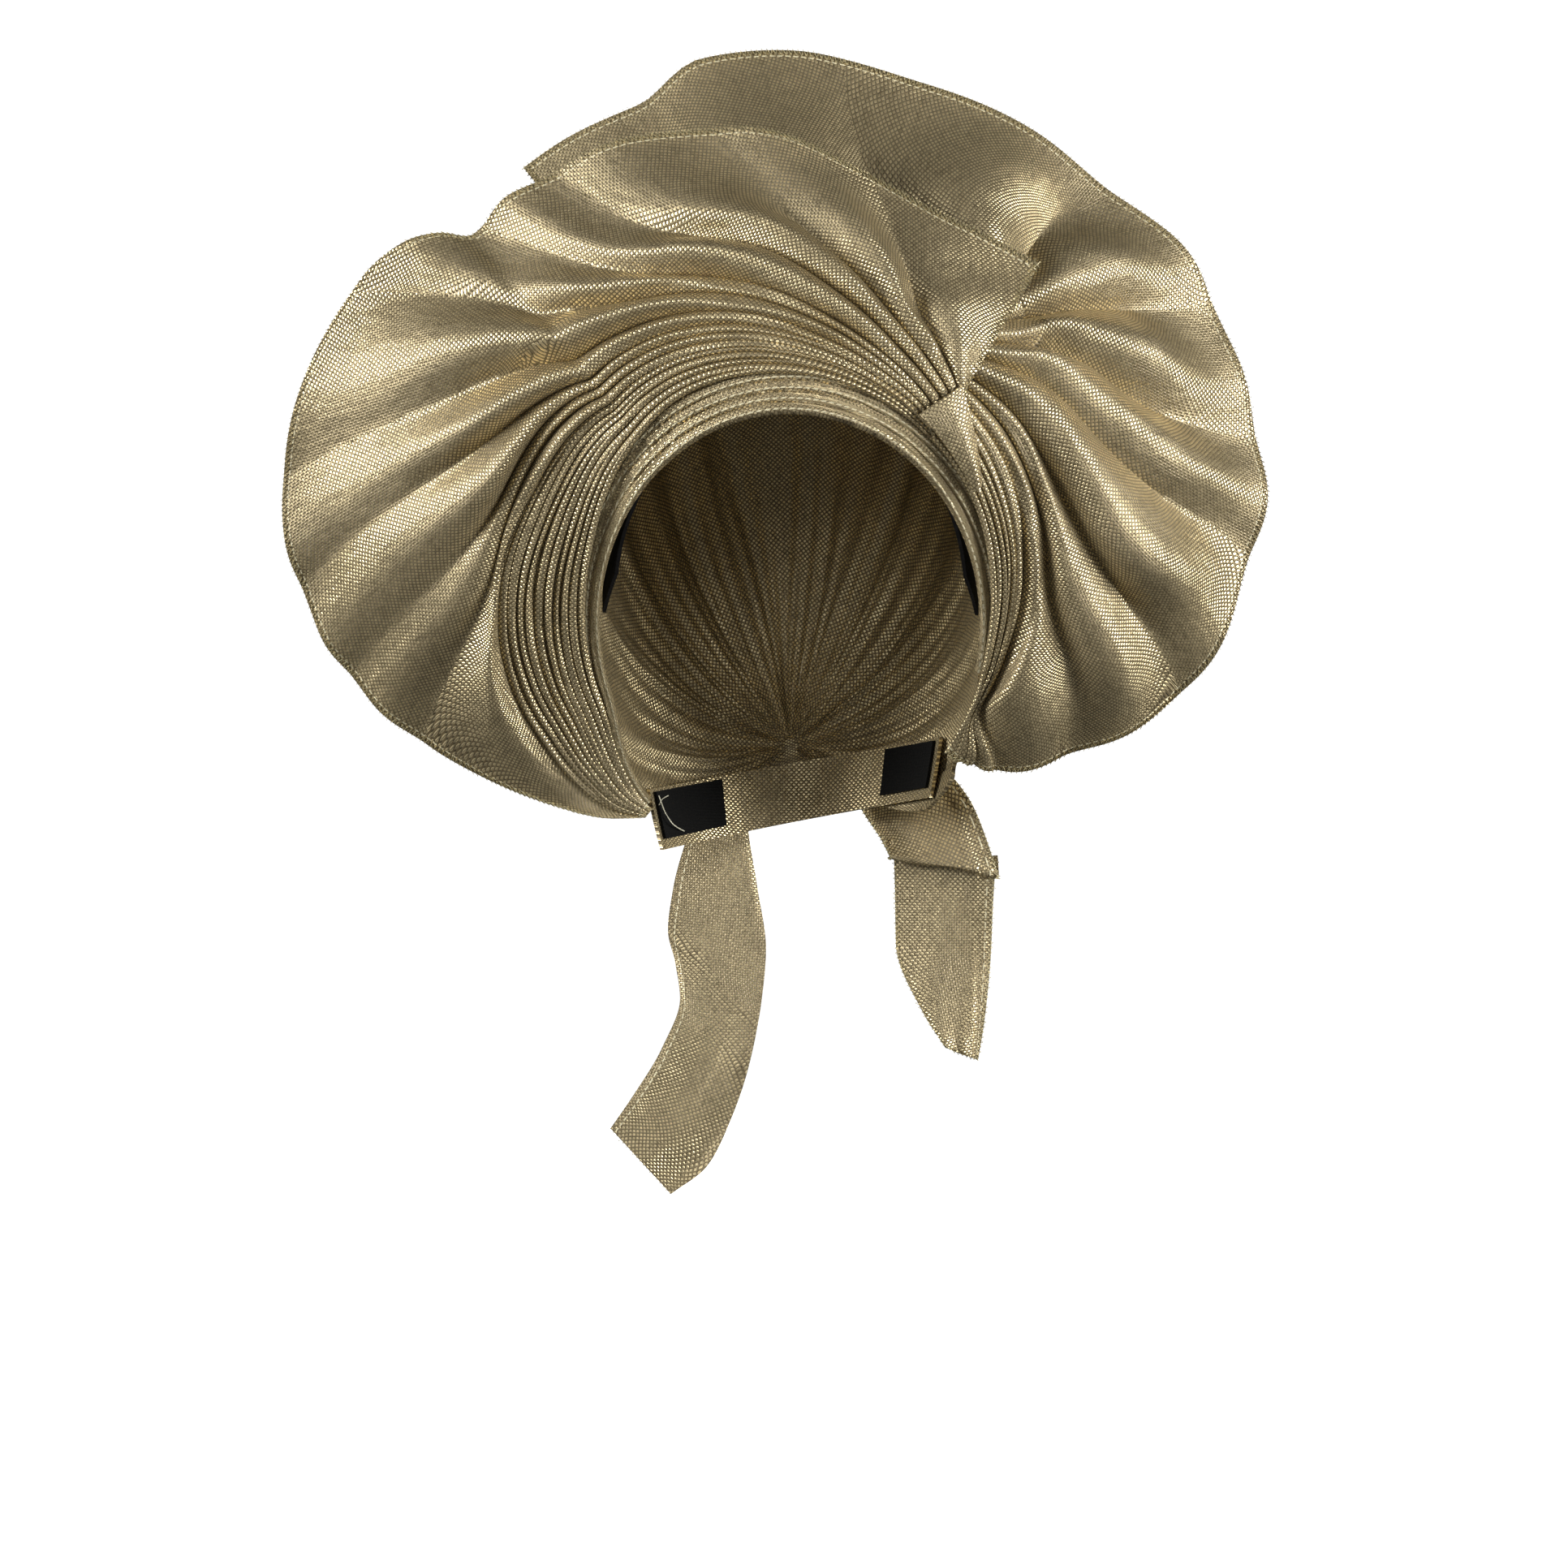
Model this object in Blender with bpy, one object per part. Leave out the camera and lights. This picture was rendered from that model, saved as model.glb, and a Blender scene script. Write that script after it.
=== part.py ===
"""A tied gele head tie, made of stiff metallic cloth.

Two pleated fans spring from one gather at the wearer's left temple. The front fan sweeps over the
forehead and down the other cheek, and the back fan rises behind it and falls on the gather's own
side. A flat brow band edges the face opening, a gathered crown cap covers the head, and a strap,
a knot and two tie ends close it at the nape.

Metres, +Z up, the wearer faces -Y and +X is the wearer's left. The origin is the centre of the
head, level with the eyes and midway between the temples.
"""

import math
from collections import namedtuple

import bmesh
import bpy
import numpy as np

# Cloth
CLOTH = 0.0016
LAYER_GAP = 0.0005

# Face opening, an upright oval seen from the front, in a plane that leans back towards the nape
FACE_WIDTH = 0.160
FACE_HEIGHT = 0.173
FACE_SETBACK = 0.012
FACE_LEAN = 0.70
JAW_FLARE = 0.010

# Fans
LEFT_SPREAD = 0.2283
RIGHT_SPREAD = 0.2451
LEFT_RIM_FRONT = 0.030
RIGHT_RIM_FRONT = 0.006
LEFT_RIM_SWEEP = 0.065
RIGHT_RIM_SWEEP = 0.042
RIM_SWEEP_POWER = 2.2
DISH = 0.10
GATHER_ANGLE = 54.5
BEHIND_STEP = 0.006
BEHIND_DEPTH = 0.019
BROAD_FOLD_HEIGHT = 0.009
FOLD_STEEPNESS = 0.42
RIM_FLATNESS = 0.35
TURN_POWER = 1.6
CROWDED = 0.0017
LEFT_FINE_PLEATS = 10
LEFT_BROAD_FOLDS = 10
RIGHT_FINE_PLEATS = 6
RIGHT_BROAD_FOLDS = 8

# Brow band
BAND_WIDTH = 0.017
BAND_TUCK = 0.004
BAND_GAP = 0.0009
BAND_LAYERS = 3
BAND_LAYER_STEP = 0.0005

# Crown cap, an egg round the head
CAP_WIDTH = 0.166
CAP_DEPTH = 0.206
CAP_CENTRE_BACK = 0.010
CAP_CENTRE_UP = 0.027
CAP_CROWN_RISE = 0.105
CAP_NAPE_DROP = 0.200
CAP_GATHER_HEIGHT = 0.0022
CAP_GATHERS = 12
CAP_GATHER_HOLE = 0.003
CAP_HEM_TURN = 41.0
CAP_CLEARANCE = 0.0012
KNOT_SLOPE = 38.0

# Inner band, black stretch cloth that grips the head
INNER_BAND_WIDTH = 0.030
INNER_BAND_CLOTH = 0.0015
INNER_BAND_SETBACK = 0.003
INNER_BAND_GRIP = 0.0035
INNER_BAND_GAP = 0.0018
INNER_BAND_ENDS = 8.0

# Nape strap and its hook and loop patches
STRAP_LEVEL = 0.056
STRAP_TILT = 0.16
STRAP_HEIGHT = 0.026
STRAP_INSET = 0.0031
STRAP_LEFT_END = 152.0
STRAP_RIGHT_END = 28.0
PATCH_CLOTH = 0.0012
PATCH_MARGIN = 0.0045
HOOK_PATCH_TURN = 36.0
LOOP_PATCH_TURN = 26.0

# Nape knot
KNOT_LENGTH = 0.032
KNOT_HEIGHT = 0.027
KNOT_THICKNESS = 0.021
KNOT_WAIST = 0.72
KNOT_SETTLE = 0.0006

# Tie ends
TIE_WIDTH = 0.045
RIGHT_TIE_LENGTH = 0.137
LEFT_TIE_LENGTH = 0.200

# Wrap over the gather
WRAP_TOP = 59.0
WRAP_FOOT = 37.0
WRAP_SLANT = 4.0
WRAP_WIDTH = 0.017
WRAP_INSET = 0.006
WRAP_LIFT = 0.0027
WRAP_SWELL = 0.0030

Rim = namedtuple("Rim", "angle reach")
Fold = namedtuple("Fold", "share start_angle start_reach drift turn end_angle end_reach height")
Show = namedtuple("Show", "angle share")
Fan = namedtuple("Fan", "spread rim folds front sweep fine broad behind")
Section = namedtuple("Section", "along across_a back_a drop_a across_b back_b drop_b")

# Outline of each fan seen from the front: the angle about the origin, and the reach as a share
# of the fan's spread. Angles run from the wearer's left (0) over the top (90) to the right (180).
LEFT_RIM = [
    Rim(55, 0.800),
    Rim(68, 0.790),
    Rim(82, 0.838),
    Rim(98, 0.907),
    Rim(112, 0.925),
    Rim(123, 0.925),
    Rim(129, 0.913),
    Rim(132, 0.952),
    Rim(135.5, 0.982),
    Rim(141, 1.000),
    Rim(152, 0.988),
    Rim(165, 0.958),
    Rim(180, 0.865),
    Rim(192, 0.758),
    Rim(204, 0.645),
    Rim(216, 0.555),
    Rim(225, 0.500),
    Rim(232, 0.445),
]
RIGHT_RIM = [
    Rim(-38, 0.375),
    Rim(-34, 0.430),
    Rim(-22, 0.545),
    Rim(-8, 0.693),
    Rim(6, 0.782),
    Rim(18, 0.857),
    Rim(31, 0.898),
    Rim(46, 0.942),
    Rim(54.5, 0.936),
    Rim(64, 0.951),
    Rim(76, 0.966),
    Rim(90, 1.000),
    Rim(99, 0.993),
    Rim(106, 0.940),
    Rim(114, 0.933),
    Rim(120, 0.922),
]

# How the folds run from the gather. Share is the place across the gathered edge, from the face
# outwards. A fold leaves the gather at start_angle, start_reach of the way from face to rim, and
# ends at end_angle and end_reach. It drifts outwards by drift while it hugs the face, and past
# turn, a share of its way, it turns out to the rim. Height is the share of a broad fold's height.
LEFT_FOLDS = [
    Fold(0.00, 55.5, 0.000, 0.00, 0.62, 232, 0.00, 1.0),
    Fold(0.25, 55.5, 0.013, 0.15, 0.62, 232, 0.36, 1.0),
    Fold(0.50, 55.5, 0.030, 0.31, 0.62, 232, 0.78, 1.0),
    Fold(0.55, 55.5, 0.040, 0.31, 0.86, 198, 1.00, 1.0),
    Fold(0.60, 55.5, 0.050, 0.33, 0.84, 187, 1.00, 1.0),
    Fold(0.65, 55.5, 0.062, 0.34, 0.74, 175, 1.00, 1.0),
    Fold(0.70, 55.5, 0.076, 0.39, 0.74, 163, 1.00, 1.1),
    Fold(0.75, 55.4, 0.092, 0.45, 0.74, 145, 1.00, 1.2),
    Fold(0.80, 55.2, 0.110, 0.45, 0.80, 129.5, 1.00, 1.2),
    Fold(0.85, 54.8, 0.160, 0.52, 0.88, 117, 1.00, 1.2),
    Fold(0.90, 54.2, 0.200, 0.50, 0.80, 98, 1.00, 1.3),
    Fold(0.95, 53.6, 0.235, 0.42, 0.45, 80, 1.00, 1.0),
    Fold(1.00, 53.2, 0.265, 0.50, 0.40, 55.5, 1.00, 0.2),
]
RIGHT_FOLDS = [
    Fold(0.000, 53.0, 0.00, 0.00, 0.90, -38, 0.00, 1.0),
    Fold(0.214, 53.0, 0.07, -0.03, 0.90, -38, 0.50, 1.0),
    Fold(0.429, 53.0, 0.15, -0.09, 0.90, -34, 1.00, 1.0),
    Fold(0.500, 53.0, 0.19, 0.02, 0.65, -25, 1.00, 1.0),
    Fold(0.571, 53.6, 0.22, 0.12, 0.50, -10, 1.00, 1.1),
    Fold(0.643, 56.0, 0.28, 0.28, 0.45, 8, 1.00, 1.1),
    Fold(0.714, 57.0, 0.33, 0.38, 0.55, 21, 1.00, 1.1),
    Fold(0.786, 57.5, 0.37, 0.45, 0.60, 38, 1.00, 1.1),
    Fold(0.857, 58.5, 0.37, 0.50, 0.60, 56, 1.00, 1.0),
    Fold(0.929, 60.0, 0.30, 0.35, 0.65, 85, 1.00, 1.0),
    Fold(1.000, 61.5, 0.20, 0.30, 0.70, 120, 1.00, 0.6),
]

# How much brow band shows inside the fans at each angle, as a share of its full width
BAND_SHOWS = [
    Show(-38, 0.06),
    Show(-8, 0.12),
    Show(10, 0.26),
    Show(34, 0.50),
    Show(60, 0.68),
    Show(90, 0.85),
    Show(114, 1.00),
    Show(136, 0.74),
    Show(160, 0.41),
    Show(195, 0.26),
    Show(232, 0.12),
]

LEFT_FAN = Fan(LEFT_SPREAD, LEFT_RIM, LEFT_FOLDS, LEFT_RIM_FRONT, LEFT_RIM_SWEEP,
               LEFT_FINE_PLEATS, LEFT_BROAD_FOLDS, 0.0)
RIGHT_FAN = Fan(RIGHT_SPREAD, RIGHT_RIM, RIGHT_FOLDS, RIGHT_RIM_FRONT, RIGHT_RIM_SWEEP,
                RIGHT_FINE_PLEATS, RIGHT_BROAD_FOLDS, 1.0)

# The two tie ends. Each row is a line across the strip, from its outer edge a to its inner edge
# b. Across and back are shares of the strip's width and drop is a share of its length, measured
# from the end of the knot. The right one is tucked once, where its upper part stands forward.
RIGHT_TIE_SECTIONS = [
    Section(0.00, 0.00, 0.00, -0.05, 0.00, 0.00, 0.06),
    Section(0.10, 0.52, -0.10, -0.02, 0.22, -0.05, 0.14),
    Section(0.20, 1.04, -0.22, 0.04, 0.40, -0.14, 0.23),
    Section(0.28, 1.40, -0.34, 0.17, 0.52, -0.24, 0.29),
    Section(0.40, 1.66, -0.46, 0.385, 0.62, -0.38, 0.325),
    Section(0.46, 1.65, -0.38, 0.41, 0.64, -0.30, 0.35),
    Section(0.58, 1.62, -0.26, 0.50, 0.66, -0.18, 0.44),
    Section(0.72, 1.60, -0.24, 0.66, 0.67, -0.18, 0.63),
    Section(0.87, 1.54, -0.30, 0.86, 0.92, -0.26, 0.84),
    Section(1.00, 1.47, -0.34, 1.00, 1.15, -0.32, 0.96),
]
LEFT_TIE_SECTIONS = [
    Section(0.00, 0.00, 0.00, -0.036, 0.00, 0.00, 0.045),
    Section(0.12, -0.32, -0.06, 0.03, -0.05, -0.04, 0.16),
    Section(0.24, -0.62, -0.15, 0.18, 0.04, -0.11, 0.30),
    Section(0.36, -0.78, -0.22, 0.31, 0.13, -0.15, 0.44),
    Section(0.47, -0.83, -0.24, 0.40, 0.09, -0.20, 0.55),
    Section(0.57, -0.76, -0.24, 0.47, 0.04, -0.22, 0.62),
    Section(0.67, -0.71, -0.26, 0.55, -0.05, -0.24, 0.71),
    Section(0.79, -0.89, -0.29, 0.66, -0.22, -0.26, 0.82),
    Section(0.90, -1.16, -0.31, 0.76, -0.45, -0.28, 0.92),
    Section(1.00, -1.39, -0.33, 0.835, -0.80, -0.31, 0.98),
]

GOLD_CLOTH = ((0.40, 0.33, 0.16, 1.0), 0.42, 0.75)
BLACK_STRETCH = ((0.012, 0.012, 0.013, 1.0), 0.85, 0.0)
BLACK_HOOK = ((0.008, 0.008, 0.009, 1.0), 0.95, 0.0)


def through(rows, column, at, key="angle"):
    """A column's value at a key, on a smooth curve through the table's rows that never overshoots."""
    keys = np.array([getattr(row, key) for row in rows], float)
    values = np.array([getattr(row, column) for row in rows], float)
    steps = np.diff(values) / np.diff(keys)
    slopes = np.zeros(len(rows))
    turning = steps[:-1] * steps[1:] > 0
    before, after = steps[:-1][turning], steps[1:][turning]
    slopes[1:-1][turning] = 2 * before * after / (before + after)
    slopes[0], slopes[-1] = steps[0], steps[-1]
    at = np.clip(np.asarray(at, float), keys[0], keys[-1])
    i = np.clip(np.searchsorted(keys, at) - 1, 0, len(rows) - 2)
    span = keys[i + 1] - keys[i]
    f = (at - keys[i]) / span
    rise = f * f * (3 - 2 * f)
    return (values[i] + (values[i + 1] - values[i]) * rise
            + span * f * (1 - f) * ((1 - f) * slopes[i] - f * slopes[i + 1]))


def ease(x):
    """0 below 0, 1 above 1, and smooth between."""
    x = np.clip(x, 0.0, 1.0)
    return x * x * (3 - 2 * x)


def face_radius(angle):
    """Distance from the origin to the face opening's edge, seen from the front."""
    turn = np.radians(angle)
    a, b = FACE_WIDTH / 2, FACE_HEIGHT / 2
    oval = a * b / np.hypot(b * np.cos(turn), a * np.sin(turn))
    return oval + JAW_FLARE * ease((np.asarray(angle) - 200.0) / 32.0)


def band_shown(angle):
    """Width of the brow band that shows at an angle, between the face and the fans."""
    return BAND_WIDTH * through(BAND_SHOWS, "share", angle)


def sheet_point(fan, angle, reach):
    """A point of a fan's smooth base sheet: reach 0 is the face opening's edge and 1 the rim."""
    turn = np.radians(angle)
    inner = face_radius(angle)
    outer = fan.spread * through(fan.rim, "reach", angle)
    radius = inner + (outer - inner) * reach
    inner_y = -FACE_SETBACK - FACE_LEAN * inner * np.sin(turn)
    lowness = np.clip((fan.spread - outer * np.sin(turn)) / (1.3 * fan.spread), 0, None)
    outer_y = -fan.front + fan.sweep * lowness ** RIM_SWEEP_POWER
    dish = DISH * (outer - inner) * 16 * reach ** 2 * (1 - reach) ** 2
    y = inner_y + (outer_y - inner_y) * reach - dish
    return np.stack([radius * np.cos(turn), y, radius * np.sin(turn)], axis=-1)


def front_normal(point_at, a, b, step_a, step_b, keep=False):
    """Unit normal of a surface point_at(a, b), turned to face the front unless its side is kept."""
    along = point_at(a + step_a, b) - point_at(a - step_a, b)
    across = point_at(a, b + step_b) - point_at(a, b - step_b)
    normal = np.cross(along, across)
    normal /= np.linalg.norm(normal, axis=-1, keepdims=True)
    return normal if keep else normal * np.where(normal[..., 1:2] > 0, -1.0, 1.0)


def fold_place(fan, share, along):
    """Angle and reach on the base sheet of the point that lies along a fold."""
    start_angle = through(fan.folds, "start_angle", share, "share")
    end_angle = through(fan.folds, "end_angle", share, "share")
    start = through(fan.folds, "start_reach", share, "share")
    end = through(fan.folds, "end_reach", share, "share")
    drift = through(fan.folds, "drift", share, "share")
    turn = through(fan.folds, "turn", share, "share")
    angle = start_angle + (end_angle - start_angle) * along
    outward = np.clip((along - turn) / (1 - turn), 0, None) ** TURN_POWER
    reach = start + drift * along + (end - start - drift) * outward
    inner = face_radius(angle)
    outer = fan.spread * through(fan.rim, "reach", angle)
    shown = band_shown(angle) / (outer - inner)
    return angle, shown + (1 - shown) * reach


def behind_offset(fan, share, along):
    """How far the back fan passes behind the front one. Its lower folds stay level with it."""
    step = BEHIND_STEP * ease((share - 0.34) / 0.16)
    return fan.behind * (step + BEHIND_DEPTH * ease((share - 0.58) / 0.22) * ease(along / 0.28))


def cloth_point(fan, share, along):
    """The base sheet at a place on the cloth, pushed back where one fan passes behind."""
    point = sheet_point(fan, *fold_place(fan, share, along))
    point[..., 1] += behind_offset(fan, share, along)
    return point


def pleat_height(fan, share, along):
    """Height of the pleated cloth over its base sheet.

    Where folds crowd together they lie as one pleat by twos, and by fours next to the gather.
    """
    step = 0.002
    across = (cloth_point(fan, share + step, along) - cloth_point(fan, share - step, along))
    onward = (cloth_point(fan, share, along + step) - cloth_point(fan, share, along - step))
    onward /= np.linalg.norm(onward, axis=-1, keepdims=True) + 1e-9
    spacing = np.linalg.norm(np.cross(across, onward), axis=-1) / (2 * step)
    number = share * (fan.fine + fan.broad)
    width = spacing / (fan.fine + fan.broad)
    most = BROAD_FOLD_HEIGHT * through(fan.folds, "height", share, "share")
    alone = ease((width - CROWDED) / (0.5 * CROWDED))
    by_twos = (1 - alone) * ease((2 * width - CROWDED) / (0.5 * CROWDED))
    lift = 0.0
    for together, weight in ((1, alone), (2, by_twos), (4, 1 - alone - by_twos)):
        wide = width * together
        tall = most * (1 - np.exp(-FOLD_STEEPNESS * wide / most))
        phase = number / together - np.floor(number / together)
        ridge = 1 - (2 * phase - 1) ** 2
        wave = 0.5 - 0.5 * np.cos(2 * np.pi * phase)
        broadness = ease((wide - 0.006) / 0.020)
        flatter = 1 - RIM_FLATNESS * ease((along - 0.6) / 0.4) * broadness
        lift = lift + weight * tall * flatter * (ridge + (wave - ridge) * broadness)
    return lift


def new_collection(name):
    collection = bpy.data.collections.new(name)
    bpy.context.scene.collection.children.link(collection)
    return collection


def make_material(name, look):
    colour, roughness, metallic = look
    material = bpy.data.materials.new(name)
    material.use_nodes = True
    shader = material.node_tree.nodes["Principled BSDF"]
    shader.inputs["Base Color"].default_value = colour
    shader.inputs["Roughness"].default_value = roughness
    shader.inputs["Metallic"].default_value = metallic
    material.diffuse_color = colour
    return material


def flat_slab(columns, rows):
    """A flat slab of cloth, one unit square, with a front face (depth 0) and a back face (depth 1).

    Both faces are cut into triangles along the same diagonals, so that they stay parallel.
    """
    slab = bmesh.new()
    bmesh.ops.create_grid(slab, x_segments=columns, y_segments=rows, size=0.5)
    bmesh.ops.triangulate(slab, faces=slab.faces[:], quad_method="FIXED")
    bmesh.ops.solidify(slab, geom=slab.faces[:], thickness=1.0)
    spots = np.array([vertex.co for vertex in slab.verts])
    spots[:, :2] += 0.5
    depth = np.abs(spots[:, 2] - spots[:, 2].max())
    return slab, spots[:, 0], spots[:, 1], depth / depth.max()


def finished_piece(name, solid, material, collection):
    """Makes an object of a closed solid, with its faces turned outwards."""
    bmesh.ops.recalc_face_normals(solid, faces=solid.faces[:])
    if solid.calc_volume(signed=True) < 0:
        bmesh.ops.reverse_faces(solid, faces=solid.faces[:])
    mesh = bpy.data.meshes.new(name)
    solid.to_mesh(mesh)
    solid.free()
    mesh.materials.append(material)
    piece = bpy.data.objects.new(name, mesh)
    collection.objects.link(piece)
    return piece


def cloth_piece(name, columns, rows, place, material, collection):
    """Bends a flat slab into shape: place(u, v, depth) gives the points of the finished cloth."""
    slab, u, v, depth = flat_slab(columns, rows)
    for vertex, point in zip(slab.verts, place(u, v, depth)):
        vertex.co = point
    return finished_piece(name, slab, material, collection)


def pleated_fan(name, fan, rows, material, collection):
    """A fan whose slab has two columns on each fine pleat and three on each broad fold."""
    fine_columns, broad_columns = 2 * fan.fine, 3 * fan.broad
    columns = fine_columns + broad_columns
    total = fan.fine + fan.broad

    def place(u, v, depth):
        column = np.round(u * columns)
        number = np.where(column <= fine_columns, column / 2,
                          fan.fine + (column - fine_columns) / 3)
        share = number / total
        point = cloth_point(fan, share, v)
        normal = front_normal(lambda s, t: cloth_point(fan, s, t), share, np.clip(v, 0.01, 0.99),
                              0.004, 0.008)
        lift = pleat_height(fan, share, v) - CLOTH * depth
        return point + normal * lift[:, None]

    return cloth_piece(name, columns, rows, place, material, collection)


def band_sheet(angle, radius):
    """The smooth sheet that the brow band follows, which joins both fans' base sheets."""
    inner = face_radius(angle)
    mix = ease((angle - GATHER_ANGLE) / 8.0 + 0.5)[..., None]
    points = []
    for fan in (RIGHT_FAN, LEFT_FAN):
        outer = fan.spread * through(fan.rim, "reach", angle)
        points.append(sheet_point(fan, angle, (radius - inner) / (outer - inner)))
    return points[0] * (1 - mix) + points[1] * mix


def brow_band(material, collection):
    """Flat stitched layers that edge the face opening, each a little behind the one outside it."""
    first, last = -14.0, 231.0

    def place(u, v, depth):
        angle = first + (last - first) * u
        inner = face_radius(angle)
        radius = inner + (band_shown(angle) + BAND_TUCK) * v
        point = band_sheet(angle, radius)
        normal = front_normal(band_sheet, angle, radius, 1.0, 0.002)
        behind = CLOTH + BAND_GAP + BAND_LAYER_STEP * np.floor(BAND_LAYERS * (1 - v))
        return point - normal * (behind + CLOTH * depth)[:, None]

    return cloth_piece("brow_band", 40, 2 * BAND_LAYERS, place, material, collection)


def egg_point(direction, inset=0.0):
    """Where a ray from the cap's centre meets the egg that the cap lies on, moved in by inset."""
    centre = np.array([0.0, CAP_CENTRE_BACK, CAP_CENTRE_UP])
    upright = np.where(direction[..., 2] > 0, CAP_CROWN_RISE, CAP_NAPE_DROP)
    axes = np.stack([np.full_like(upright, CAP_WIDTH / 2), np.full_like(upright, CAP_DEPTH / 2),
                     upright], axis=-1)
    scaled = direction / axes
    point = direction / np.linalg.norm(scaled, axis=-1, keepdims=True)
    normal = point / axes ** 2
    normal /= np.linalg.norm(normal, axis=-1, keepdims=True)
    return centre + point - normal * np.asarray(inset)[..., None], normal


def meridian(turn, tilt):
    """Direction at an angle tilt from the nape knot, on the meridian that leaves it at turn.

    Turn 0 goes to the wearer's left, 90 up over the crown and 180 to the right.
    """
    slope = math.radians(KNOT_SLOPE)
    axis = np.array([0.0, math.cos(slope), -math.sin(slope)])
    rise = np.array([0.0, math.sin(slope), math.cos(slope)])
    side = np.array([1.0, 0.0, 0.0])
    turn, tilt = np.radians(turn)[..., None], np.radians(tilt)[..., None]
    return axis * np.cos(tilt) + np.sin(tilt) * (side * np.cos(turn) + rise * np.sin(turn))


def under_cap(point):
    """True where a point of the egg lies behind the brow band."""
    angle = np.degrees(np.arctan2(point[..., 2], point[..., 0]))
    angle = np.where(angle < -90, angle + 360, angle)
    angle = np.clip(angle, -38, 232)
    radius = np.maximum(np.hypot(point[..., 0], point[..., 2]), face_radius(angle))
    sheet = band_sheet(angle, radius)
    normal = front_normal(band_sheet, angle, radius, 1.0, 0.002)
    layers = 2 * CLOTH + BAND_GAP + (BAND_LAYERS - 1) * BAND_LAYER_STEP
    backs = (layers + CAP_CLEARANCE) / np.abs(normal[..., 1])
    return point[..., 1] > sheet[..., 1] + backs


def cap_edge(turn):
    """How far each meridian of the cap runs from the knot before it meets the band."""
    low = np.full_like(turn, 5.0)
    for tilt in np.arange(6.0, 175.0, 1.0):
        inside = under_cap(egg_point(meridian(turn, np.full_like(turn, tilt)))[0])
        low = np.where(inside & (low == tilt - 1.0), tilt, low)
    high = low + 1.0
    for _ in range(20):
        middle = (low + high) / 2
        inside = under_cap(egg_point(meridian(turn, middle))[0])
        low, high = np.where(inside, middle, low), np.where(inside, high, middle)
    return low


def crown_cap(material, collection):
    """The cloth over the head, gathered to the knot. Its hem runs from there to the band's ends."""
    hole = math.degrees(CAP_GATHER_HOLE / (CAP_DEPTH / 2))

    def place(u, v, depth):
        turn = -CAP_HEM_TURN + (180.0 + 2 * CAP_HEM_TURN) * u
        tilt = hole + (cap_edge(turn) - hole) * v
        ripple = 0.5 - 0.5 * np.cos(2 * np.pi * CAP_GATHERS * u)
        fade = ease(v / 0.15) * ease((1 - v) / 0.30)
        lift = CAP_GATHER_HEIGHT * ripple * fade
        point, _ = egg_point(meridian(turn, tilt), CLOTH * depth - lift)
        return point

    return cloth_piece("crown_cap", 3 * CAP_GATHERS, 9, place, material, collection)


def inner_band(material, collection):
    """Black band inside the cap. Its front edge leans in at the temples, where it shows."""

    def place(u, v, depth):
        turn = -INNER_BAND_ENDS + (180.0 + 2 * INNER_BAND_ENDS) * u
        per_degree = math.radians(1.0) * CAP_DEPTH / 2
        edge = cap_edge(turn) - INNER_BAND_SETBACK / per_degree
        tilt = edge - INNER_BAND_WIDTH / per_degree * v
        grip = INNER_BAND_GRIP * (1 - v) * ease(np.abs(np.cos(np.radians(turn))) / 0.8)
        inset = CLOTH + INNER_BAND_GAP + grip + INNER_BAND_CLOTH * depth
        return egg_point(meridian(turn, tilt), inset)[0]

    return cloth_piece("inner_band", 30, 3, place, material, collection)


def nape_point(turn, height, inset):
    """A point on the egg at a height, at an angle round the neck: 0 is the wearer's left."""
    level = (height - CAP_CENTRE_UP) / CAP_NAPE_DROP
    scale = np.sqrt(1 - level ** 2)
    turn = np.radians(turn)
    across = (CAP_WIDTH / 2 * scale - inset) * np.cos(turn)
    back = (CAP_DEPTH / 2 * scale - inset) * np.sin(turn)
    return np.stack([across, CAP_CENTRE_BACK + back, height], axis=-1)


def strap_height(turn, drop):
    """Height on the strap, at a drop below its upper edge, which is higher on the gather's side."""
    across = CAP_WIDTH / 2 * math.sqrt(1 - (STRAP_LEVEL / CAP_NAPE_DROP) ** 2)
    return -STRAP_LEVEL + STRAP_TILT * across * np.cos(np.radians(turn)) - drop


def nape_strap(material, collection):
    """The strap that closes the wrap round the nape, inside the cap's hem."""

    def place(u, v, depth):
        turn = STRAP_LEFT_END + (STRAP_RIGHT_END - STRAP_LEFT_END) * u
        height = strap_height(turn, STRAP_HEIGHT * v)
        return nape_point(turn, height, STRAP_INSET + CLOTH * depth)

    return cloth_piece("nape_strap", 16, 2, place, material, collection)


def strap_patch(name, first, last, material, collection):
    """A hook or loop patch sewn on the strap's inner face."""

    def place(u, v, depth):
        turn = first + (last - first) * u
        drop = 0.3 * PATCH_MARGIN + (STRAP_HEIGHT - 1.3 * PATCH_MARGIN) * v
        inset = STRAP_INSET + CLOTH + LAYER_GAP + PATCH_CLOTH * depth
        return nape_point(turn, strap_height(turn, drop), inset)

    return cloth_piece(name, 6, 1, place, material, collection)


def height_over_cap(point):
    """Height of a point over the egg that the cap lies on."""
    from_centre = point - np.array([0.0, CAP_CENTRE_BACK, CAP_CENTRE_UP])
    reach = np.linalg.norm(from_centre, axis=-1)
    surface, _ = egg_point(from_centre / reach[..., None])
    return reach - np.linalg.norm(surface - (point - from_centre), axis=-1)


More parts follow.
